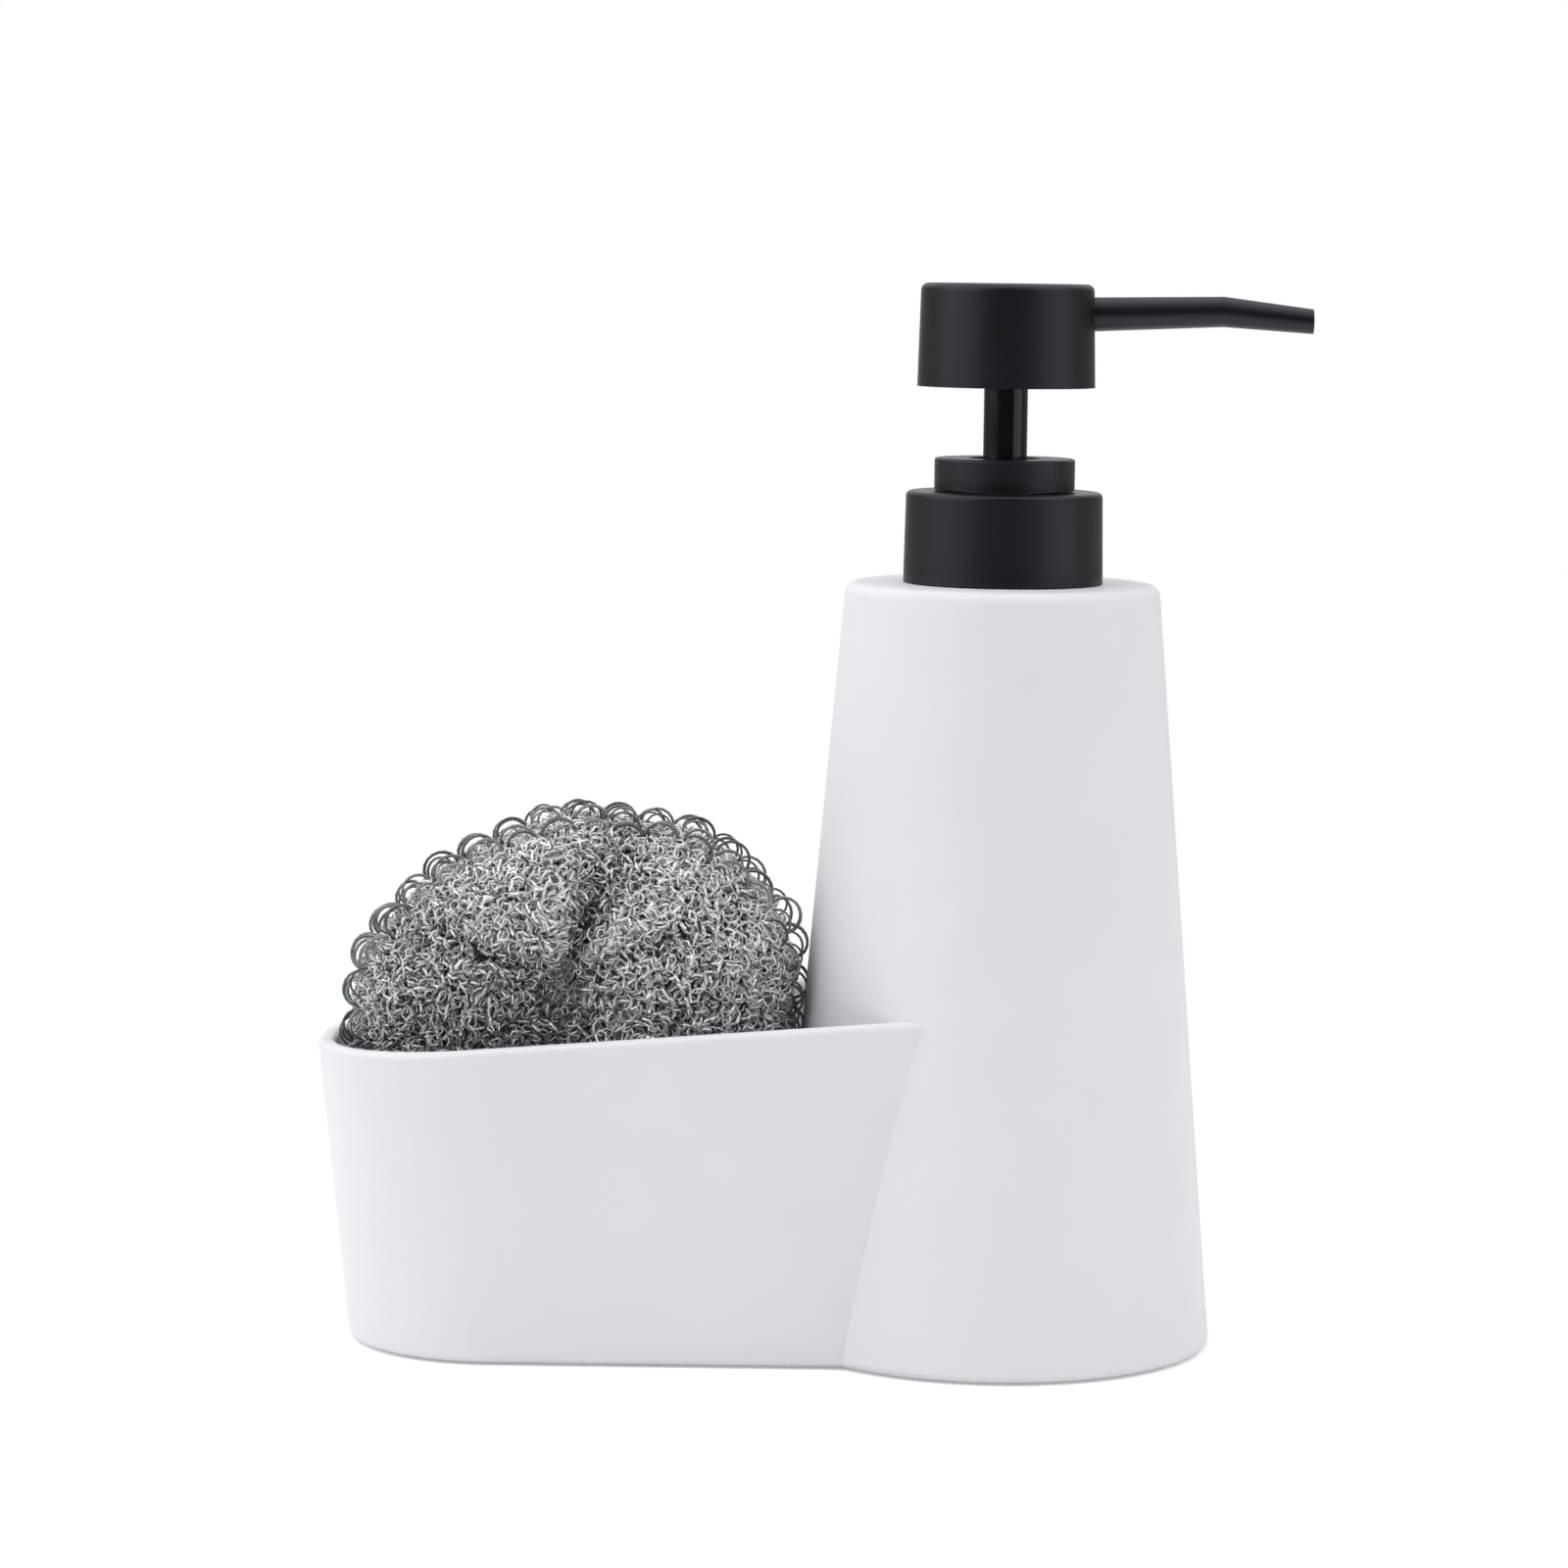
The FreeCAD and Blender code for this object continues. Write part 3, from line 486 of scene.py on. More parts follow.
@dataclass(frozen=True)
class ScourerWire(Finish):
    """Flattened stainless wire, knitted: bright curls of slightly different greys, cool in the shade.

    Each curl carries its own tone, partly at random, because no two lie alike to the rollers that flattened
    the wire, and partly as painted light and painted shade: paler on the lit side, darker in the folds and
    on the rim loops.
    """

    bright: str = "#FCFEFE"
    # The dull end is partly the wire's own darker grey and partly painted shade, for the folds and for the
    # dark room that the rim loops reflect.
    dull_and_shaded: str = "#4C5454"
    mark: float = 0.6 * MM
    roughness: tuple[float, float] = (0.12, 0.24)
    metal_share: float = 0.62

    def material(self) -> bpy.types.Material:
        """Make the knitted wire's material."""
        make = Shading("knitted_stainless_wire")
        tone = add_node(make.tree, "ShaderNodeAttribute", attribute_name="tone").outputs["Fac"]
        feed(make.surface, {
            "Base Color": make.mixed(tone, self.dull_and_shaded, self.bright),
            "Roughness": make.between(make.grain(self.mark), *self.roughness),
            "Metallic": self.metal_share,
        })
        return make.material


@dataclass(frozen=True)
class ScourerHeart(Finish):
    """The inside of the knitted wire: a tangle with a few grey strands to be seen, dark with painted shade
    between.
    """

    # The dark between the strands is painted shade, for the deep wires that the light hardly reaches.
    painted_shade_gap: str = "#505555"
    strand: str = "#B4BABA"
    strand_pitch: float = 1.1 * MM
    strand_edge: tuple[float, float] = (0.03, 0.16)  # in shares of the pitch, full strand to none
    patch: float = 1.5 * MM
    roughness: tuple[float, float] = (0.4, 0.6)
    relief: tuple[float, float] = (0.3 * MM, 0.6)
    metal_share: float = 0.4

    def material(self) -> bpy.types.Material:
        """Make the tangle's material."""
        make = Shading("packed_stainless_wire_in_painted_shade")
        inputs = {"Vector": make.place, "Scale": 1 / self.strand_pitch}
        cells = add_node(make.tree, "ShaderNodeTexVoronoi", inputs, feature="DISTANCE_TO_EDGE")
        strand = map_range(make.tree, cells.outputs["Distance"], self.strand_edge, (1.0, 0.0))
        feed(make.surface, {
            "Base Color": make.mixed(strand, self.painted_shade_gap, self.strand),
            "Roughness": make.between(make.grain(self.patch), *self.roughness),
            "Normal": make.bump(strand, *self.relief),
            "Metallic": self.metal_share,
        })
        return make.material


@dataclass(frozen=True)
class PaleFloor(Finish):
    """Matt white card under the object.

    The camera sees plain white but for the object's soft shadow, which pales away from it.
    """

    card: str = "#F0F0F0"
    lift: float = 0.3
    shadow_reach: float = 0.2
    white_reach: float = 0.42

    def material(self) -> bpy.types.Material:
        """Make the floor's material."""
        make = Shading("matt_white_card")
        tree = make.tree
        path = add_node(tree, "ShaderNodeLightPath").outputs
        seen = path["Is Camera Ray"]
        for ray in ("Is Glossy Ray", "Is Transmission Ray"):
            seen = combine(tree, "MAXIMUM", seen, path[ray])
        away = add_node(tree, "ShaderNodeVectorMath", {0: make.place}, operation="LENGTH").outputs["Value"]
        reaches = (self.shadow_reach, self.white_reach)
        paling = map_range(tree, away, reaches, interpolation_type="SMOOTHSTEP")
        lift = combine(tree, "MULTIPLY", seen, self.lift)
        white = combine(tree, "MULTIPLY", seen, paling)
        feed(make.surface, {
            "Base Color": linear(self.card),
            "Roughness": 0.9,
            "Specular IOR Level": 0.0,
            "Emission Color": (1.0, 1.0, 1.0, 1.0),
            "Emission Strength": lift,
        })
        plain = add_node(tree, "ShaderNodeEmission", {"Strength": 1.0})
        both = add_node(tree, "ShaderNodeMixShader", {
            0: white, 1: make.surface.outputs[0], 2: plain.outputs[0],
        })
        feed(tree.nodes["Material Output"], {"Surface": both.outputs[0]})
        return make.material


def dress(nodes: tuple[str, ...], finish: Finish) -> list[str]:
    """Give frame nodes a finish.

    Args:
        nodes: Names of the nodes.
        finish: The finish that they share.

    Returns:
        The same names, for the log.
    """
    material = finish.material()
    for name in nodes:
        mesh = frame["nodes"][name].data
        mesh.materials.clear()
        mesh.materials.append(material)
    return list(nodes)


@dataclass
class Casting:
    """The one-piece bottle and tray, its base pads and the threaded neck."""

    resin: Finish = CastResin()
    foam: Finish = FoamPad()
    neck: Finish = NaturalPlastic()

    def build(self) -> list[str]:
        """Dress the casting's nodes and list them."""
        named = dress(("caddy_body",), self.resin)
        named += dress(("bottle_pad", "tray_pad"), self.foam)
        return named + dress(("neck_insert",), self.neck)


@dataclass
class Pump:
    """The lotion pump: collar, housing, plunger, head and the return spring."""

    satin: Finish = MouldedPolypropylene()
    gloss: Finish = PolishedAcetal()
    milky: Finish = NaturalPlastic("natural_polyethylene", "#DFDED8", "#D2D1CA")
    tube: Finish = NaturalPlastic("extruded_polyethylene", "#ECECE8", "#E0E0DB", 2.0 * MM, 0.5)
    rubber: Finish = SealRubber()
    steel: Finish = StainlessSteel()
    spring_wire: float = 0.45 * MM
    spring_turns: float = 8.0
    turn_steps: int = 28
    wire_sides: int = 8
    stroke: float = 11.5 * MM

    def build(self) -> list[str]:
        """Dress the pump's nodes, wind its spring and list them."""
        named = dress((
            "head_cover", "spout", "chaplet", "collar_cover", "head_core", "threaded_closure",
        ), self.satin)
        named += dress(("stem",), self.gloss)
        named += dress(("pump_housing", "ball_retainer", "piston_rod", "piston"), self.milky)
        named += dress(("dip_tube",), self.tube)
        named += dress(("neck_gasket",), self.rubber)
        named += dress(("inlet_ball", "return_spring"), self.steel)
        return named + [self.wind_spring().name]

    def spring_tree(self) -> bpy.types.NodeTree:
        """Build the tree that winds a coil of round wire upwards from its foot.

        Returns:
            The Geometry Nodes tree.
        """
        tree = grown_tree("wound_coil", {
            "Coil Radius": "NodeSocketFloat",
            "Coil Height": "NodeSocketFloat",
            "Wire Radius": "NodeSocketFloat",
            "Foot": "NodeSocketFloat",
            "Turns": "NodeSocketFloat",
            "Finish": "NodeSocketMaterial",
        })
        given = add_node(tree, "NodeGroupInput").outputs
        coil = add_node(tree, "GeometryNodeCurveSpiral", {
            "Resolution": self.turn_steps,
            "Rotations": given["Turns"],
            "Start Radius": given["Coil Radius"],
            "End Radius": given["Coil Radius"],
            "Height": given["Coil Height"],
        })
        section = add_node(tree, "GeometryNodeCurvePrimitiveCircle", {
            "Resolution": self.wire_sides, "Radius": given["Wire Radius"],
        })
        wire = add_node(tree, "GeometryNodeCurveToMesh", {
            "Curve": coil.outputs["Curve"], "Profile Curve": section.outputs["Curve"], "Fill Caps": True,
        })
        lift = add_node(tree, "ShaderNodeCombineXYZ", {"Z": given["Foot"]})
        stood = add_node(tree, "GeometryNodeTransform", {
            "Geometry": wire.outputs[0], "Translation": lift.outputs[0],
        })
        smooth = add_node(tree, "GeometryNodeSetShadeSmooth", {"Geometry": stood.outputs[0]})
        end_tree(tree, smooth.outputs[0], given["Finish"])
        return tree

    def wind_spring(self) -> bpy.types.Object:
        """Wind the return spring where its node stands and hang it on the pump unit.

        Returns:
            The spring.
        """
        low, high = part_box("return_spring")
        spring = grown_piece("return_spring_coil", bpy.data.meshes.new("spring_seed"), self.spring_tree(), {
            "Coil Radius": (high.x - low.x) / 2 - self.spring_wire,
            "Coil Height": high.z - low.z - 2 * self.spring_wire,
            "Wire Radius": self.spring_wire,
            "Foot": low.z + self.spring_wire,
            "Turns": self.spring_turns,
            "Finish": bpy.data.materials["drawn_stainless_steel"],
        })
        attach(spring, "pump_unit")
        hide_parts("return_spring")
        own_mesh(spring)
        return spring


@dataclass(frozen=True)
class Knit:
    """One layer of knitted loops: how deep it lies and how its loops are set.

    Loops stand a pitch apart in rows a course apart. They tumble by up to the calm at the rim and the unrest
    on the faces, in radians, and stray from their places. The reach is the sine of the farthest row's angle
    from the rim. Rows of nested loops keep the same count and drift by a share of the pitch, other rows are
    staggered.
    """

    name: str
    depth: float
    pitch: float
    course: float
    width: float
    height: float
    calm: float
    unrest: float
    stray: float
    loop_points: int
    seed: int
    reach: float = 1.0
    wire_width: float = 0.4 * MM
    wire_thickness: float = 0.27 * MM
    scales: tuple[float, float] = (0.75, 1.35)
    tones: tuple[float, float] = (0.47, 1.0)
    nested: bool = False


def unit(rows: np.ndarray) -> np.ndarray:
    """Bring vectors, one row each, to a length of 1."""
    return rows / np.maximum(np.linalg.norm(rows, axis=1, keepdims=True), TINY)


def run_lengths(points: np.ndarray) -> np.ndarray:
    """Measure how far along its path each point lies."""
    return np.concatenate([[0], np.cumsum(np.linalg.norm(np.diff(points, axis=0), axis=1))])


@dataclass
class WireScourer:
    """The knitted steel scourer: layers of loops over a packed heart dark with painted shade, gathered in the
    middle.
    """

    # Reach of the skin at every 15 degrees from the bottle's side over the top to the far end and back below
    outline_shares: tuple[float, ...] = (
        1.0, 1.04, 1.065, 1.055, 1.05, 1.01, 0.99, 0.92, 0.88, 0.89, 0.91, 0.94,
        0.955, 0.965, 0.98, 1.0, 1.0, 1.0, 1.0, 1.0, 1.0, 1.0, 1.0, 1.0,
    )
    widest_share: float = 0.619
    floor_inset: float = 2.8 * MM
    face_inset: float = 0.6 * MM
    fullness: float = 2.8
    dimple_share: float = 0.42
    dimple_width: float = 0.26
    gather_lift: float = 6 * MM
    # Angle, width and depth of each fold that runs out from the gather over the rim
    folds: tuple[tuple[float, float, float], ...] = (
        (75.0, 12.0, 6.6 * MM),
        (148.0, 8.0, 2 * MM),
        (36.0, 8.0, 1.6 * MM),
    )
    fold_reach: float = 2.2
    notch_share: float = 0.15
    notch_power: int = 3
    heart_depth: float = 3.8 * MM
    heart_rings: int = 40
    heart_spokes: int = 96
    loop_start: float = -55.0
    loop_sweep: float = 290.0
    nest_drift: float = 0.11
    nest_drop: float = 9 * MM
    rim_swell: float = 0.4 * MM
    swell_power: int = 4
    # Loops below this level, which the tray hides at rest, are thinned out by this share
    sunk_level: float = 42 * MM
    sunk_share: float = 0.7
    # Where the rows are measured out: the last angle before a pole, the angle about the axis, and the steps
    pole_angle: float = 1.555
    path_turn: float = 0.8
    path_steps: int = 900
    ring_steps: int = 181
    # Loops stand between the skin's normal and the way out from the bun's axis
    normal_lean: float = 0.55
    radial_lean: float = 0.45
    # Sine of the angle from the rim where the unrest begins, and over how much it grows
    calm_edge: float = 0.3
    calm_fade: float = 0.5
    # Painted light and painted shade in the loops' colour: loops on the lit side, at the first angle here,
    # get tones paler by up to the share after it, and loops in the deepest fold get tones darker by the fold
    # shade.
    painted_light_angle: float = 45.0
    painted_light_share: float = 0.15
    fold_shade: float = 0.24
    wire: Finish = ScourerWire()
    heart: Finish = ScourerHeart()
    layers: tuple[Knit, ...] = (
        Knit(
            name="scourer_knit_rim", depth=-0.3 * MM, pitch=6.7 * MM, course=3.2 * MM,
            width=5.6 * MM, height=5.2 * MM, calm=0.24, unrest=0.5, stray=0.6 * MM,
            loop_points=15, seed=11, reach=0.36, wire_width=0.62 * MM, wire_thickness=0.42 * MM,
            # The rim loops keep to the darkest tones: painted shade, a painted reflection of the dark room
            # that the rim wires face.
            scales=(0.76, 1.16), tones=(0.0, 0.3), nested=True,
        ),
        Knit(
            name="scourer_knit_outer", depth=0.9 * MM, pitch=1.55 * MM, course=1.2 * MM,
            width=1.55 * MM, height=2.0 * MM, calm=1.2, unrest=2.6, stray=0.6 * MM,
            loop_points=5, seed=23, wire_width=0.34 * MM, wire_thickness=0.25 * MM,
        ),
        Knit(
            name="scourer_knit_middle", depth=1.8 * MM, pitch=1.75 * MM, course=1.4 * MM,
            width=1.8 * MM, height=2.4 * MM, calm=1.5, unrest=2.8, stray=0.7 * MM,
            loop_points=5, seed=37,
        ),
        Knit(
            name="scourer_knit_inner", depth=2.8 * MM, pitch=2.1 * MM, course=1.7 * MM,
            width=2.1 * MM, height=2.9 * MM, calm=1.6, unrest=2.8, stray=0.8 * MM,
            loop_points=5, seed=51,
        ),
    )

    def build(self) -> list[str]:
        """Build the heart and the knitted layers and list them."""
        self.measure()
        pieces = [self.build_heart()]
        tree = self.loop_tree()
        material = self.wire.material()
        for layer in self.layers:
            pieces.append(self.build_layer(layer, tree, material))
        for piece in pieces:
            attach(piece, "scourer")
        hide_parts("scourer")
        return [piece.name for piece in pieces]

    def measure(self) -> None:
        """Take the skin's middle and reaches from the solid's box and the outline."""
        low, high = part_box("scourer")
        self.shares = np.array(self.outline_shares)
        self.marks = np.arange(len(self.shares)) * 360.0 / len(self.shares)
        along = self.shares * np.cos(np.radians(self.marks))
        rise = self.shares * np.sin(np.radians(self.marks))
        self.half_length = (high.x - low.x) / (along.max() - along.min())
        self.half_thickness = (high.y - low.y) / 2 - self.face_inset
        middle_z = low.z + (high.z - low.z) * self.widest_share
        self.middle = Vector((low.x - along.min() * self.half_length, (low.y + high.y) / 2, middle_z))
        self.crown = (high.z - middle_z) / rise.max()
        self.root = middle_z - low.z - self.floor_inset

    def skin(self, turn: np.ndarray, swing: np.ndarray) -> np.ndarray:
        """Find points on the skin that the loops stand on.

        Args:
            turn: Angles about the bun's axis, from the bottle's side over the top, in radians.
            swing: Angles from the front pole at -90 degrees over the rim to the back pole, in radians.

        Returns:
            The points, one row each.
        """
        power = 2 / self.fullness
        out = np.abs(np.cos(swing)) ** power
        thick = np.sign(np.sin(swing)) * np.abs(np.sin(swing)) ** power
        thick = thick * (1 - self.dimple_share * np.exp(-(out / self.dimple_width) ** 2))
        degrees = np.degrees(turn) % 360
        share = np.interp(degrees, self.marks, self.shares, period=360)
        height = np.where(np.sin(turn) > 0, self.crown, self.root)
        fold = self.fold_depth(degrees)
        front = np.clip(-np.sin(swing), 0, 1)
        x = self.middle.x + self.half_length * share * out * np.cos(turn)
        z = self.middle.z + height * share * out * np.sin(turn)
        z = z + self.gather_lift * (1 - out) - self.notch_share * fold * out ** self.notch_power
        y = self.middle.y + self.half_thickness * thick
        y = y + fold * front * np.clip(out * self.fold_reach, 0, 1)
        return np.stack([x, y, z], axis=-1)

    def fold_depth(self, degrees: np.ndarray) -> np.ndarray:
        """Add up the depths of the folds at angles about the bun's axis."""
        return sum(depth * np.exp(-((degrees - angle) / width) ** 2) for angle, width, depth in self.folds)

    def normals(self, turn: np.ndarray, swing: np.ndarray) -> tuple[np.ndarray, np.ndarray]:
        """Find the skin's outward normals and its directions round the axis.

        Args:
            turn: Angles about the bun's axis, in radians.
            swing: Angles from pole to pole, in radians.

        Returns:
            The normals and the directions, one row each.
        """
        step = 0.01
        along = self.skin(turn + step, swing) - self.skin(turn - step, swing)
        over = self.skin(turn, swing + step) - self.skin(turn, swing - step)
        normal = unit(np.cross(along, over))
        outward = np.sum(normal * (self.skin(turn, swing) - np.array(self.middle)), axis=1, keepdims=True)
        return normal * np.where(outward < 0, -1, 1), unit(along)

    def build_heart(self) -> bpy.types.Object:
        """Build the closed bun under the loops, dark with painted shade.

        Returns:
            The heart.
        """
        swings = np.linspace(-math.pi / 2, math.pi / 2, self.heart_rings + 2)[1:-1]
        turns = np.linspace(0, 2 * math.pi, self.heart_spokes, endpoint=False)
        turn = np.tile(turns, len(swings))
        swing = np.repeat(swings, len(turns))
        points = self.skin(turn, swing) - self.normals(turn, swing)[0] * self.heart_depth
        rings = points.reshape(len(swings), len(turns), 3)
        poles = [rings[0].mean(axis=0), rings[-1].mean(axis=0)]
        count = len(turns)
        faces = []
        for ring in range(len(swings) - 1):
            for spoke in range(count):
                after = (spoke + 1) % count
                low, high = ring * count, (ring + 1) * count
                faces.append((low + spoke, high + spoke, high + after, low + after))
        front, back = len(points), len(points) + 1
        last = (len(swings) - 1) * count
        for spoke in range(count):
            after = (spoke + 1) % count
            faces.append((front, spoke, after))
            faces.append((back, last + after, last + spoke))
        mesh = bpy.data.meshes.new("scourer_heart")
        mesh.from_pydata([tuple(p) for p in points] + [tuple(p) for p in poles], [], faces)
        mesh.shade_smooth()
        mesh.materials.append(self.heart.material())
        return placed("scourer_heart", mesh)

    def loop_tree(self) -> bpy.types.NodeTree:
        """Build the tree that sets a wire loop on every stitch of a layer.

        Returns:
            The Geometry Nodes tree.
        """
        tree = grown_tree("knitted_loops", {
            "Loop Width": "NodeSocketFloat",
            "Loop Height": "NodeSocketFloat",
            "Loop Points": "NodeSocketInt",
            "Wire Width": "NodeSocketFloat",
            "Wire Thickness": "NodeSocketFloat",
            "Stray": "NodeSocketFloat",
            "Least Scale": "NodeSocketFloat",
            "Most Scale": "NodeSocketFloat",
            "Least Tone": "NodeSocketFloat",
            "Most Tone": "NodeSocketFloat",
            "Seed": "NodeSocketInt",
            "Finish": "NodeSocketMaterial",
        })
        given = add_node(tree, "NodeGroupInput").outputs
        arc = add_node(tree, "GeometryNodeCurveArc", {
            "Resolution": given["Loop Points"],
            "Radius": 0.5,
            "Start Angle": math.radians(self.loop_start),
            "Sweep Angle": math.radians(self.loop_sweep),
        }, mode="RADIUS")
        size = add_node(tree, "ShaderNodeCombineXYZ", {
            "X": given["Loop Width"], "Y": given["Loop Height"], "Z": 1.0,
        })
        upright = add_node(tree, "GeometryNodeTransform", {
            "Geometry": arc.outputs["Curve"], "Scale": size.outputs[0], "Rotation": (math.pi / 2, 0, 0),
        })
        section = add_node(tree, "GeometryNodeCurvePrimitiveQuadrilateral", {
            "Width": given["Wire Width"], "Height": given["Wire Thickness"],
        }, mode="RECTANGLE")
        wire = add_node(tree, "GeometryNodeCurveToMesh", {
            "Curve": upright.outputs[0], "Profile Curve": section.outputs[0],
        })
        smooth = add_node(tree, "GeometryNodeSetShadeSmooth", {"Geometry": wire.outputs[0]})
        up, across = (
            add_node(tree, "GeometryNodeInputNamedAttribute", {"Name": name}, data_type="FLOAT_VECTOR")
            for name in ("up", "across")
        )
        unrest = add_node(tree, "GeometryNodeInputNamedAttribute", {"Name": "unrest"}, data_type="FLOAT")
        facing = add_node(tree, "FunctionNodeAxesToRotation", {
            "Primary Axis": up.outputs[0], "Secondary Axis": across.outputs[0],
        }, primary_axis="Z", secondary_axis="X")
        spread = {0: (-1.0, -1.0, -1.0), 1: (1.0, 1.0, 1.0), "Seed": given["Seed"]}
        chance = add_node(tree, "FunctionNodeRandomValue", spread, data_type="FLOAT_VECTOR")
        tumble = add_node(tree, "ShaderNodeVectorMath", {0: chance.outputs[0], "Scale": unrest.outputs[0]},
                          operation="SCALE")
        tumbled = add_node(tree, "FunctionNodeEulerToRotation", {0: tumble.outputs[0]})
        turned = add_node(tree, "FunctionNodeRotateRotation", {
            "Rotation": facing.outputs[0], "Rotate By": tumbled.outputs[0],
        }, rotation_space="LOCAL")
        next_seed = combine(tree, "ADD", given["Seed"], 1.0)
        spread = {**spread, "Seed": next_seed}
        chance = add_node(tree, "FunctionNodeRandomValue", spread, data_type="FLOAT_VECTOR")
        drift = add_node(tree, "ShaderNodeVectorMath", {0: chance.outputs[0], "Scale": given["Stray"]},
                         operation="SCALE")
        stitches = add_node(tree, "GeometryNodeSetPosition", {
            "Geometry": given["Geometry"], "Offset": drift.outputs[0],
        })
        scale = add_node(tree, "FunctionNodeRandomValue", {
            2: given["Least Scale"], 3: given["Most Scale"], "Seed": given["Seed"],
        }, data_type="FLOAT")
        loops = add_node(tree, "GeometryNodeInstanceOnPoints", {
            "Points": stitches.outputs[0],
            "Instance": smooth.outputs[0],
            "Rotation": turned.outputs[0],
            "Scale": scale.outputs[1],
        })
        tone = add_node(tree, "FunctionNodeRandomValue", {
            2: given["Least Tone"], 3: given["Most Tone"], "Seed": next_seed,
        }, data_type="FLOAT")
        # The shine carries painted light and painted shade: it makes the tones of loops on the lit side paler
        # and of loops in the folds darker.
        shine = add_node(tree, "GeometryNodeInputNamedAttribute", {"Name": "shine"}, data_type="FLOAT")
        lit = combine(tree, "ADD", tone.outputs[1], shine.outputs[0])
        toned = add_node(tree, "GeometryNodeStoreNamedAttribute", {
            "Geometry": loops.outputs[0], "Name": "tone", "Value": lit,
        }, data_type="FLOAT", domain="INSTANCE")
        end_tree(tree, toned.outputs[0], given["Finish"])
        return tree

    def courses(self, layer: Knit) -> tuple[np.ndarray, np.ndarray]:
        """Lay out a layer's stitches in rows from the front pole to the back one.

        Args:
            layer: The layer's spacing.

        Returns:
            Each stitch's angle about the bun's axis and its angle from pole to pole, in radians.
        """
        fine = np.linspace(-self.pole_angle, self.pole_angle, self.path_steps)
        run = run_lengths(self.skin(np.full_like(fine, self.path_turn), fine))
        rows = np.interp(np.arange(layer.course / 2, run[-1], layer.course), run, fine)
        round_trip = np.linspace(0, 2 * math.pi, self.ring_steps)
        longest = run_lengths(self.skin(round_trip, np.zeros_like(round_trip)))[-1]
        turns, swings = [], []
        for number, swing in enumerate(rows):
            lengths = run_lengths(self.skin(round_trip, np.full_like(round_trip, swing)))
            count = max(3, round((longest if layer.nested else lengths[-1]) / layer.pitch))
            shift = self.nest_drift * number if layer.nested else 0.5 * (number % 2)
            places = (np.arange(count) + shift) % count / count * lengths[-1]
            turns.append(np.interp(places, lengths, round_trip))
            swings.append(np.full(count, swing))
        turn, swing = np.concatenate(turns), np.concatenate(swings)
        within = np.abs(np.sin(swing)) <= layer.reach
        return turn[within], swing[within]

    def shine(self, turn: np.ndarray) -> np.ndarray:
        """Find the painted light and painted shade in the loops' tones: paler on the lit side, darker in the
        folds.
        """
        deepest = max(depth for _, _, depth in self.folds)
        lit = self.painted_light_share * np.cos(turn - math.radians(self.painted_light_angle))
        return lit - self.fold_shade * self.fold_depth(np.degrees(turn) % 360) / deepest

    def stitches(self, layer: Knit) -> bpy.types.Mesh:
        """Set a layer's stitches on the skin.

        Args:
            layer: The layer's depth and spacing.

        Returns:
            A mesh of points that carry the loops' directions, their unrest and their shine, which is painted
            light and painted shade.
        """
        turn, swing = self.courses(layer)
        normal, across = self.normals(turn, swing)
        slope = np.sin(swing) ** 2
        swell = self.rim_swell * (1 - slope) ** self.swell_power
        sink = self.nest_drop * slope if layer.nested else -swell
        points = self.skin(turn, swing) - normal * (layer.depth + sink)[:, None]
        thinned = np.arange(len(points)) * self.sunk_share % 1 < self.sunk_share
        kept = ~((points[:, 2] < self.sunk_level) & thinned)
        turn, swing, points, normal, across = (
            rows[kept] for rows in (turn, swing, points, normal, across)
        )
        radial = points - np.array(self.middle)
        radial[:, 1] = 0
        up = unit(self.normal_lean * normal + self.radial_lean * unit(radial))
        face = np.clip((np.abs(np.sin(swing)) - self.calm_edge) / self.calm_fade, 0, 1)
        unrest = layer.calm + (layer.unrest - layer.calm) * face
        # Painted light and painted shade in the tones, left off the nested rim loops.
        shine = self.shine(turn) * (0 if layer.nested else 1)
        mesh = bpy.data.meshes.new(layer.name)
        mesh.from_pydata([tuple(p) for p in points], [], [])
        for name, kind, field, values in (
            ("up", "FLOAT_VECTOR", "vector", up),
            ("across", "FLOAT_VECTOR", "vector", across),
            ("unrest", "FLOAT", "value", unrest),
            ("shine", "FLOAT", "value", shine),
        ):
            attribute = mesh.attributes.new(name, kind, "POINT")
            attribute.data.foreach_set(field, values.astype(np.float32).ravel())
        return mesh

    def build_layer(
        self, layer: Knit, tree: bpy.types.NodeTree, material: bpy.types.Material
    ) -> bpy.types.Object:
        """Knit one layer.

        Args:
            layer: The layer's depth and spacing.
            tree: The tree that sets the loops.
            material: The wire's material.

        Returns:
            The layer's piece.
        """
        piece = grown_piece(layer.name, self.stitches(layer), tree, {
            "Loop Width": layer.width,
            "Loop Height": layer.height,
            "Loop Points": layer.loop_points,
            "Wire Width": layer.wire_width,
            "Wire Thickness": layer.wire_thickness,
            "Stray": layer.stray,
            "Least Scale": layer.scales[0],
            "Most Scale": layer.scales[1],
            "Least Tone": layer.tones[0],
            "Most Tone": layer.tones[1],
            "Seed": layer.seed,
            "Finish": material,
        })
        LOG.info("%s: %d faces", piece.name, len(piece.data.polygons))
        return piece


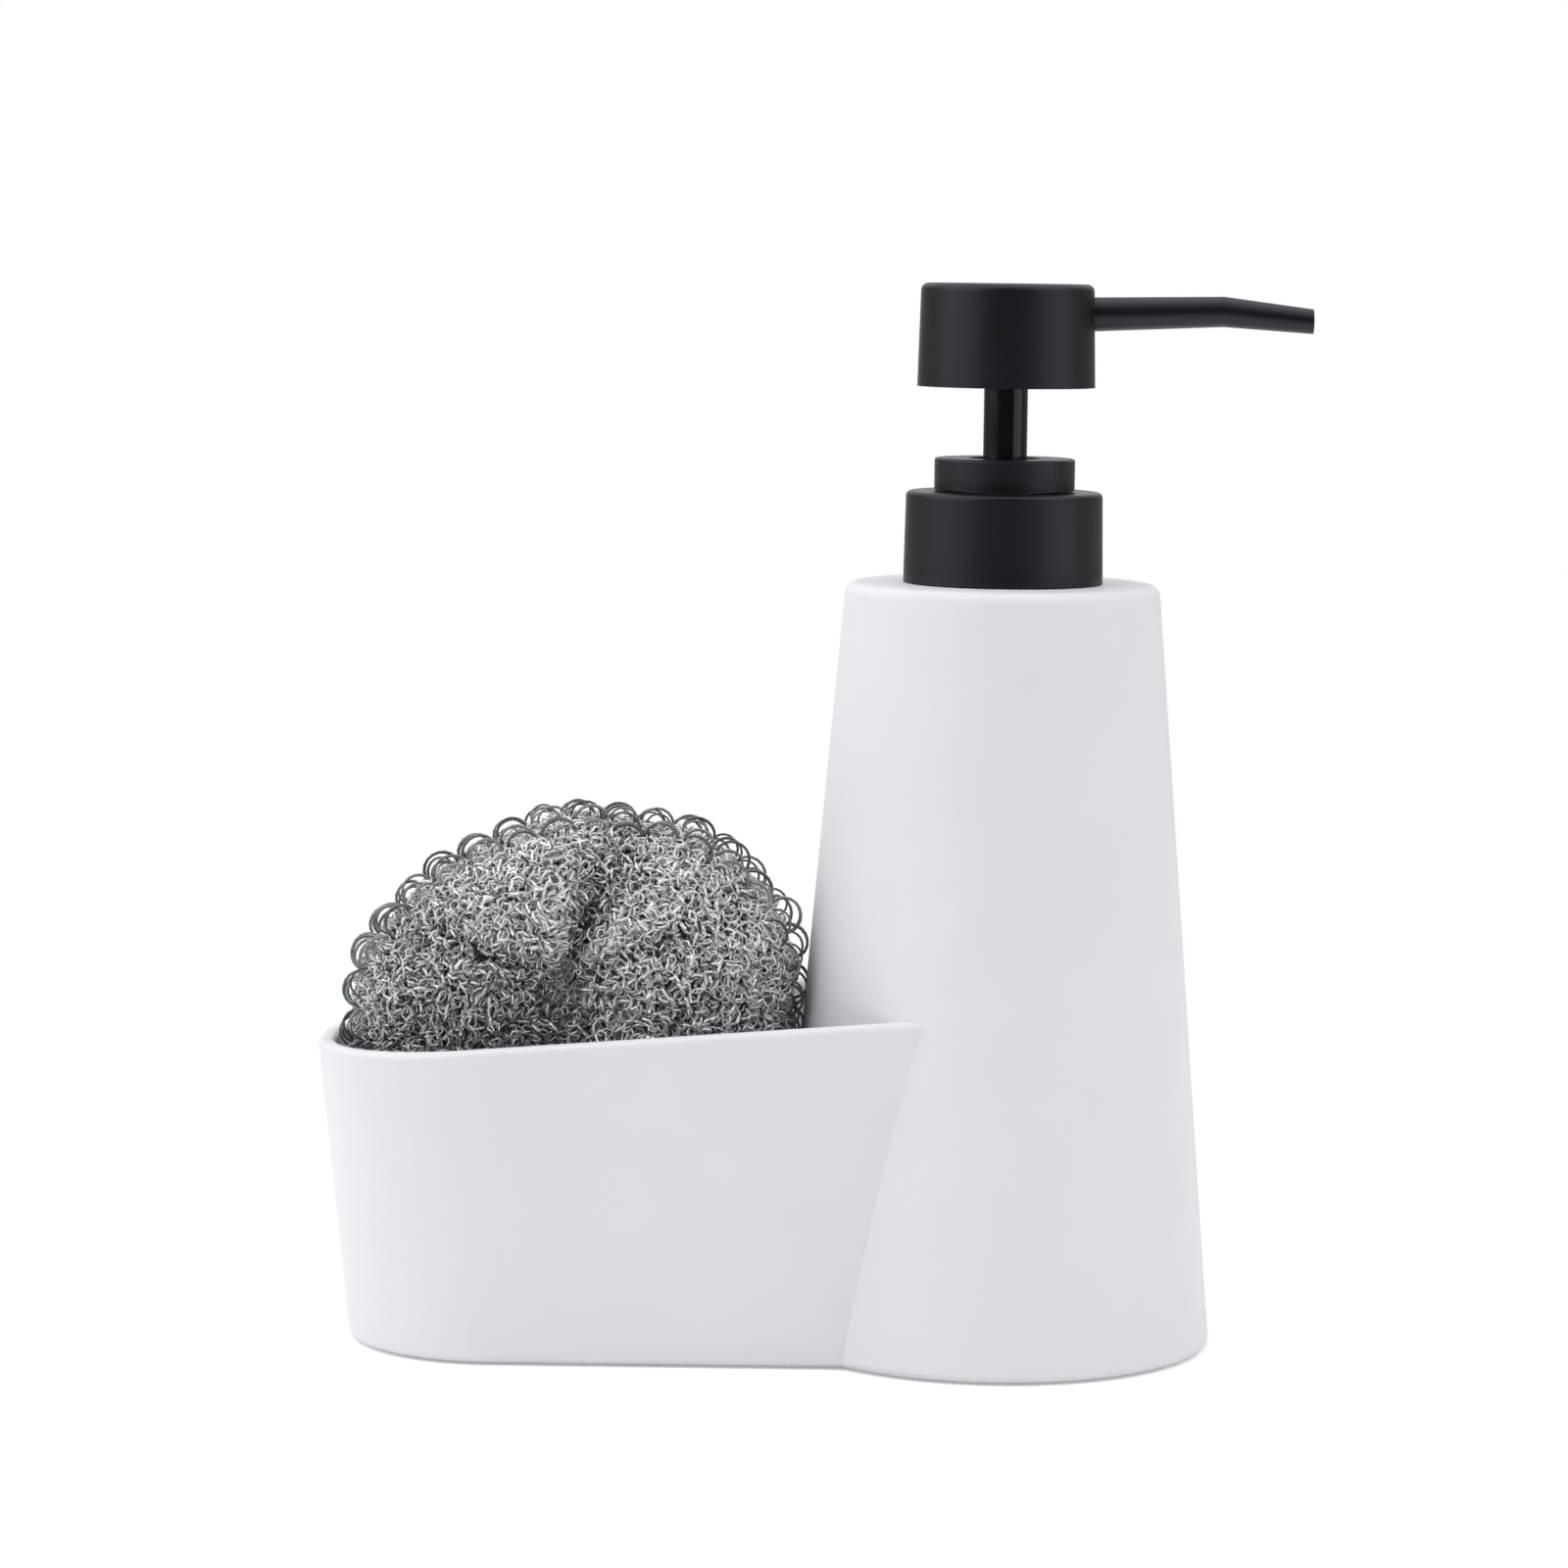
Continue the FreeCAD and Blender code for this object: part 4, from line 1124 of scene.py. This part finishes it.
@dataclass(frozen=True)
class Softbox:
    """A soft upright light panel, placed round the object by its bearing from the camera's side."""

    name: str
    bearing: float
    rise: float
    distance: float
    width: float
    height: float
    power: float
    in_gloss: bool = True

    def build(self, aim: Vector) -> None:
        """Hang the panel and turn it to the object.

        Args:
            aim: The point that the panel faces.
        """
        light = bpy.data.lights.new(self.name, "AREA")
        light.shape = "RECTANGLE"
        light.size, light.size_y, light.energy = self.width, self.height, self.power
        turn, rise = math.radians(self.bearing), math.radians(self.rise)
        away = Vector((math.sin(turn) * math.cos(rise), -math.cos(turn) * math.cos(rise), math.sin(rise)))
        panel = bpy.data.objects.new(self.name, light)
        panel.visible_glossy = self.in_gloss
        facing = away.to_track_quat("Z", "Y").to_matrix().to_4x4()
        panel.matrix_world = Matrix.Translation(aim + away * self.distance) @ facing
        bpy.context.scene.collection.objects.link(panel)


@dataclass
class Studio:
    """The camera at the photograph's place, the pale floor, the white room and its soft panels."""

    eye: tuple[float, float, float] = (-37.8 * MM, -842.7 * MM, 190.5 * MM)
    pitch: float = 6.237
    roll: float = 0.735
    lens: float = 110.745
    film: float = 36.0
    near: float = 0.05
    far: float = 20.0
    aim: tuple[float, float, float] = (-30 * MM, 0.0, 90 * MM)
    floor_reach: float = 0.7
    room: float = 0.385  # what the room adds to every matt surface
    front_room: float = 0.08  # the dark end of the room behind the camera, in gloss
    side_room: float = 0.26  # its sides, in gloss
    top_room: float = 1.0  # its ceiling behind the object, in gloss
    top_way: tuple[float, float, float] = (0.0, 0.6, 0.8)
    # Over which part of a direction's depth, or of its nearness to top_way, each part of the room comes in
    side_span: tuple[float, float] = (-0.9, 0.0)
    back_span: tuple[float, float] = (0.88, 0.97)
    top_span: tuple[float, float] = (0.5, 0.85)
    floor: Finish = PaleFloor()
    panels: tuple[Softbox, ...] = (
        Softbox(
            "left_panel", bearing=-72.0, rise=38.0, distance=0.95,
            width=1.2, height=1.3, power=6.8,
        ),
        Softbox(
            "left_rim_panel", bearing=-138.0, rise=34.0, distance=1.0,
            width=0.7, height=1.3, power=2.6, in_gloss=False,
        ),
        Softbox(
            "right_panel", bearing=66.0, rise=18.0, distance=0.95,
            width=0.85, height=1.4, power=3.0,
        ),
        Softbox(
            "right_rim_panel", bearing=140.0, rise=12.0, distance=1.0,
            width=0.6, height=1.3, power=1.6, in_gloss=False,
        ),
        Softbox(
            "top_panel", bearing=70.0, rise=68.0, distance=1.1,
            width=1.2, height=1.2, power=4.5,
        ),
    )

    def build(self) -> None:
        """Set up the camera, floor, room and panels."""
        scene = bpy.context.scene
        scene.view_settings.view_transform = "Standard"
        self.set_camera(scene)
        self.lay_floor()
        self.paint_room(scene)
        for panel in self.panels:
            panel.build(Vector(self.aim))

    def set_camera(self, scene: bpy.types.Scene) -> None:
        """Stand the camera where the photograph was taken from."""
        lens = bpy.data.cameras.new("camera")
        lens.lens, lens.sensor_width = self.lens, self.film
        lens.clip_start, lens.clip_end = self.near, self.far
        camera = bpy.data.objects.new("camera", lens)
        tilt = Matrix.Rotation(math.radians(90 - self.pitch), 4, "X")
        roll = Matrix.Rotation(math.radians(self.roll), 4, "Z")
        camera.matrix_world = Matrix.Translation(self.eye) @ (tilt @ roll)
        scene.collection.objects.link(camera)
        scene.camera = camera

    def lay_floor(self) -> None:
        """Lay the pale floor on the resting plane."""
        reach = self.floor_reach
        mesh = bpy.data.meshes.new("floor")
        corners = [(-reach, -reach, 0), (reach, -reach, 0), (reach, reach, 0), (-reach, reach, 0)]
        mesh.from_pydata(corners, [], [(0, 1, 2, 3)])
        mesh.materials.append(self.floor.material())
        placed("floor", mesh)

    def paint_room(self, scene: bpy.types.Scene) -> None:
        """Make the room white to the camera, paler behind the object than behind the camera in gloss."""
        world = bpy.data.worlds.new("white_room")
        world.use_nodes = True
        scene.world = world
        tree = world.node_tree
        way = add_node(tree, "ShaderNodeTexCoord").outputs["Generated"]
        depth = add_node(tree, "ShaderNodeSeparateXYZ", {0: way}).outputs["Y"]
        rise = add_node(tree, "ShaderNodeVectorMath", {0: way, 1: self.top_way}, operation="DOT_PRODUCT")
        sides = map_range(tree, depth, self.side_span, (self.front_room, self.side_room))
        back = map_range(tree, depth, self.back_span)
        top = map_range(tree, rise.outputs["Value"], self.top_span, (0.0, self.top_room))
        gloss = combine(tree, "MAXIMUM", combine(tree, "MAXIMUM", sides, back), top)
        path = add_node(tree, "ShaderNodeLightPath").outputs
        seen = combine(tree, "MAXIMUM", path["Is Glossy Ray"], path["Is Transmission Ray"])
        level = add_node(tree, "ShaderNodeMix", {0: seen, 2: self.room, 3: gloss})
        level = add_node(tree, "ShaderNodeMix", {0: path["Is Camera Ray"], 2: level.outputs[0], 3: 1.0})
        feed(tree.nodes["Background"], {"Color": (1.0, 1.0, 1.0, 1.0), "Strength": level.outputs[0]})


def main() -> None:
    """Build the studio and each sub-assembly and report the pieces."""
    logging.basicConfig(level=logging.INFO, format="%(message)s")
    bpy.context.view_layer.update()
    Studio().build()
    for assembly in (Casting(), Pump(), WireScourer()):
        for name in assembly.build():
            LOG.info("%s: %s", type(assembly).__name__, name)


if __name__ == "__main__":
    main()
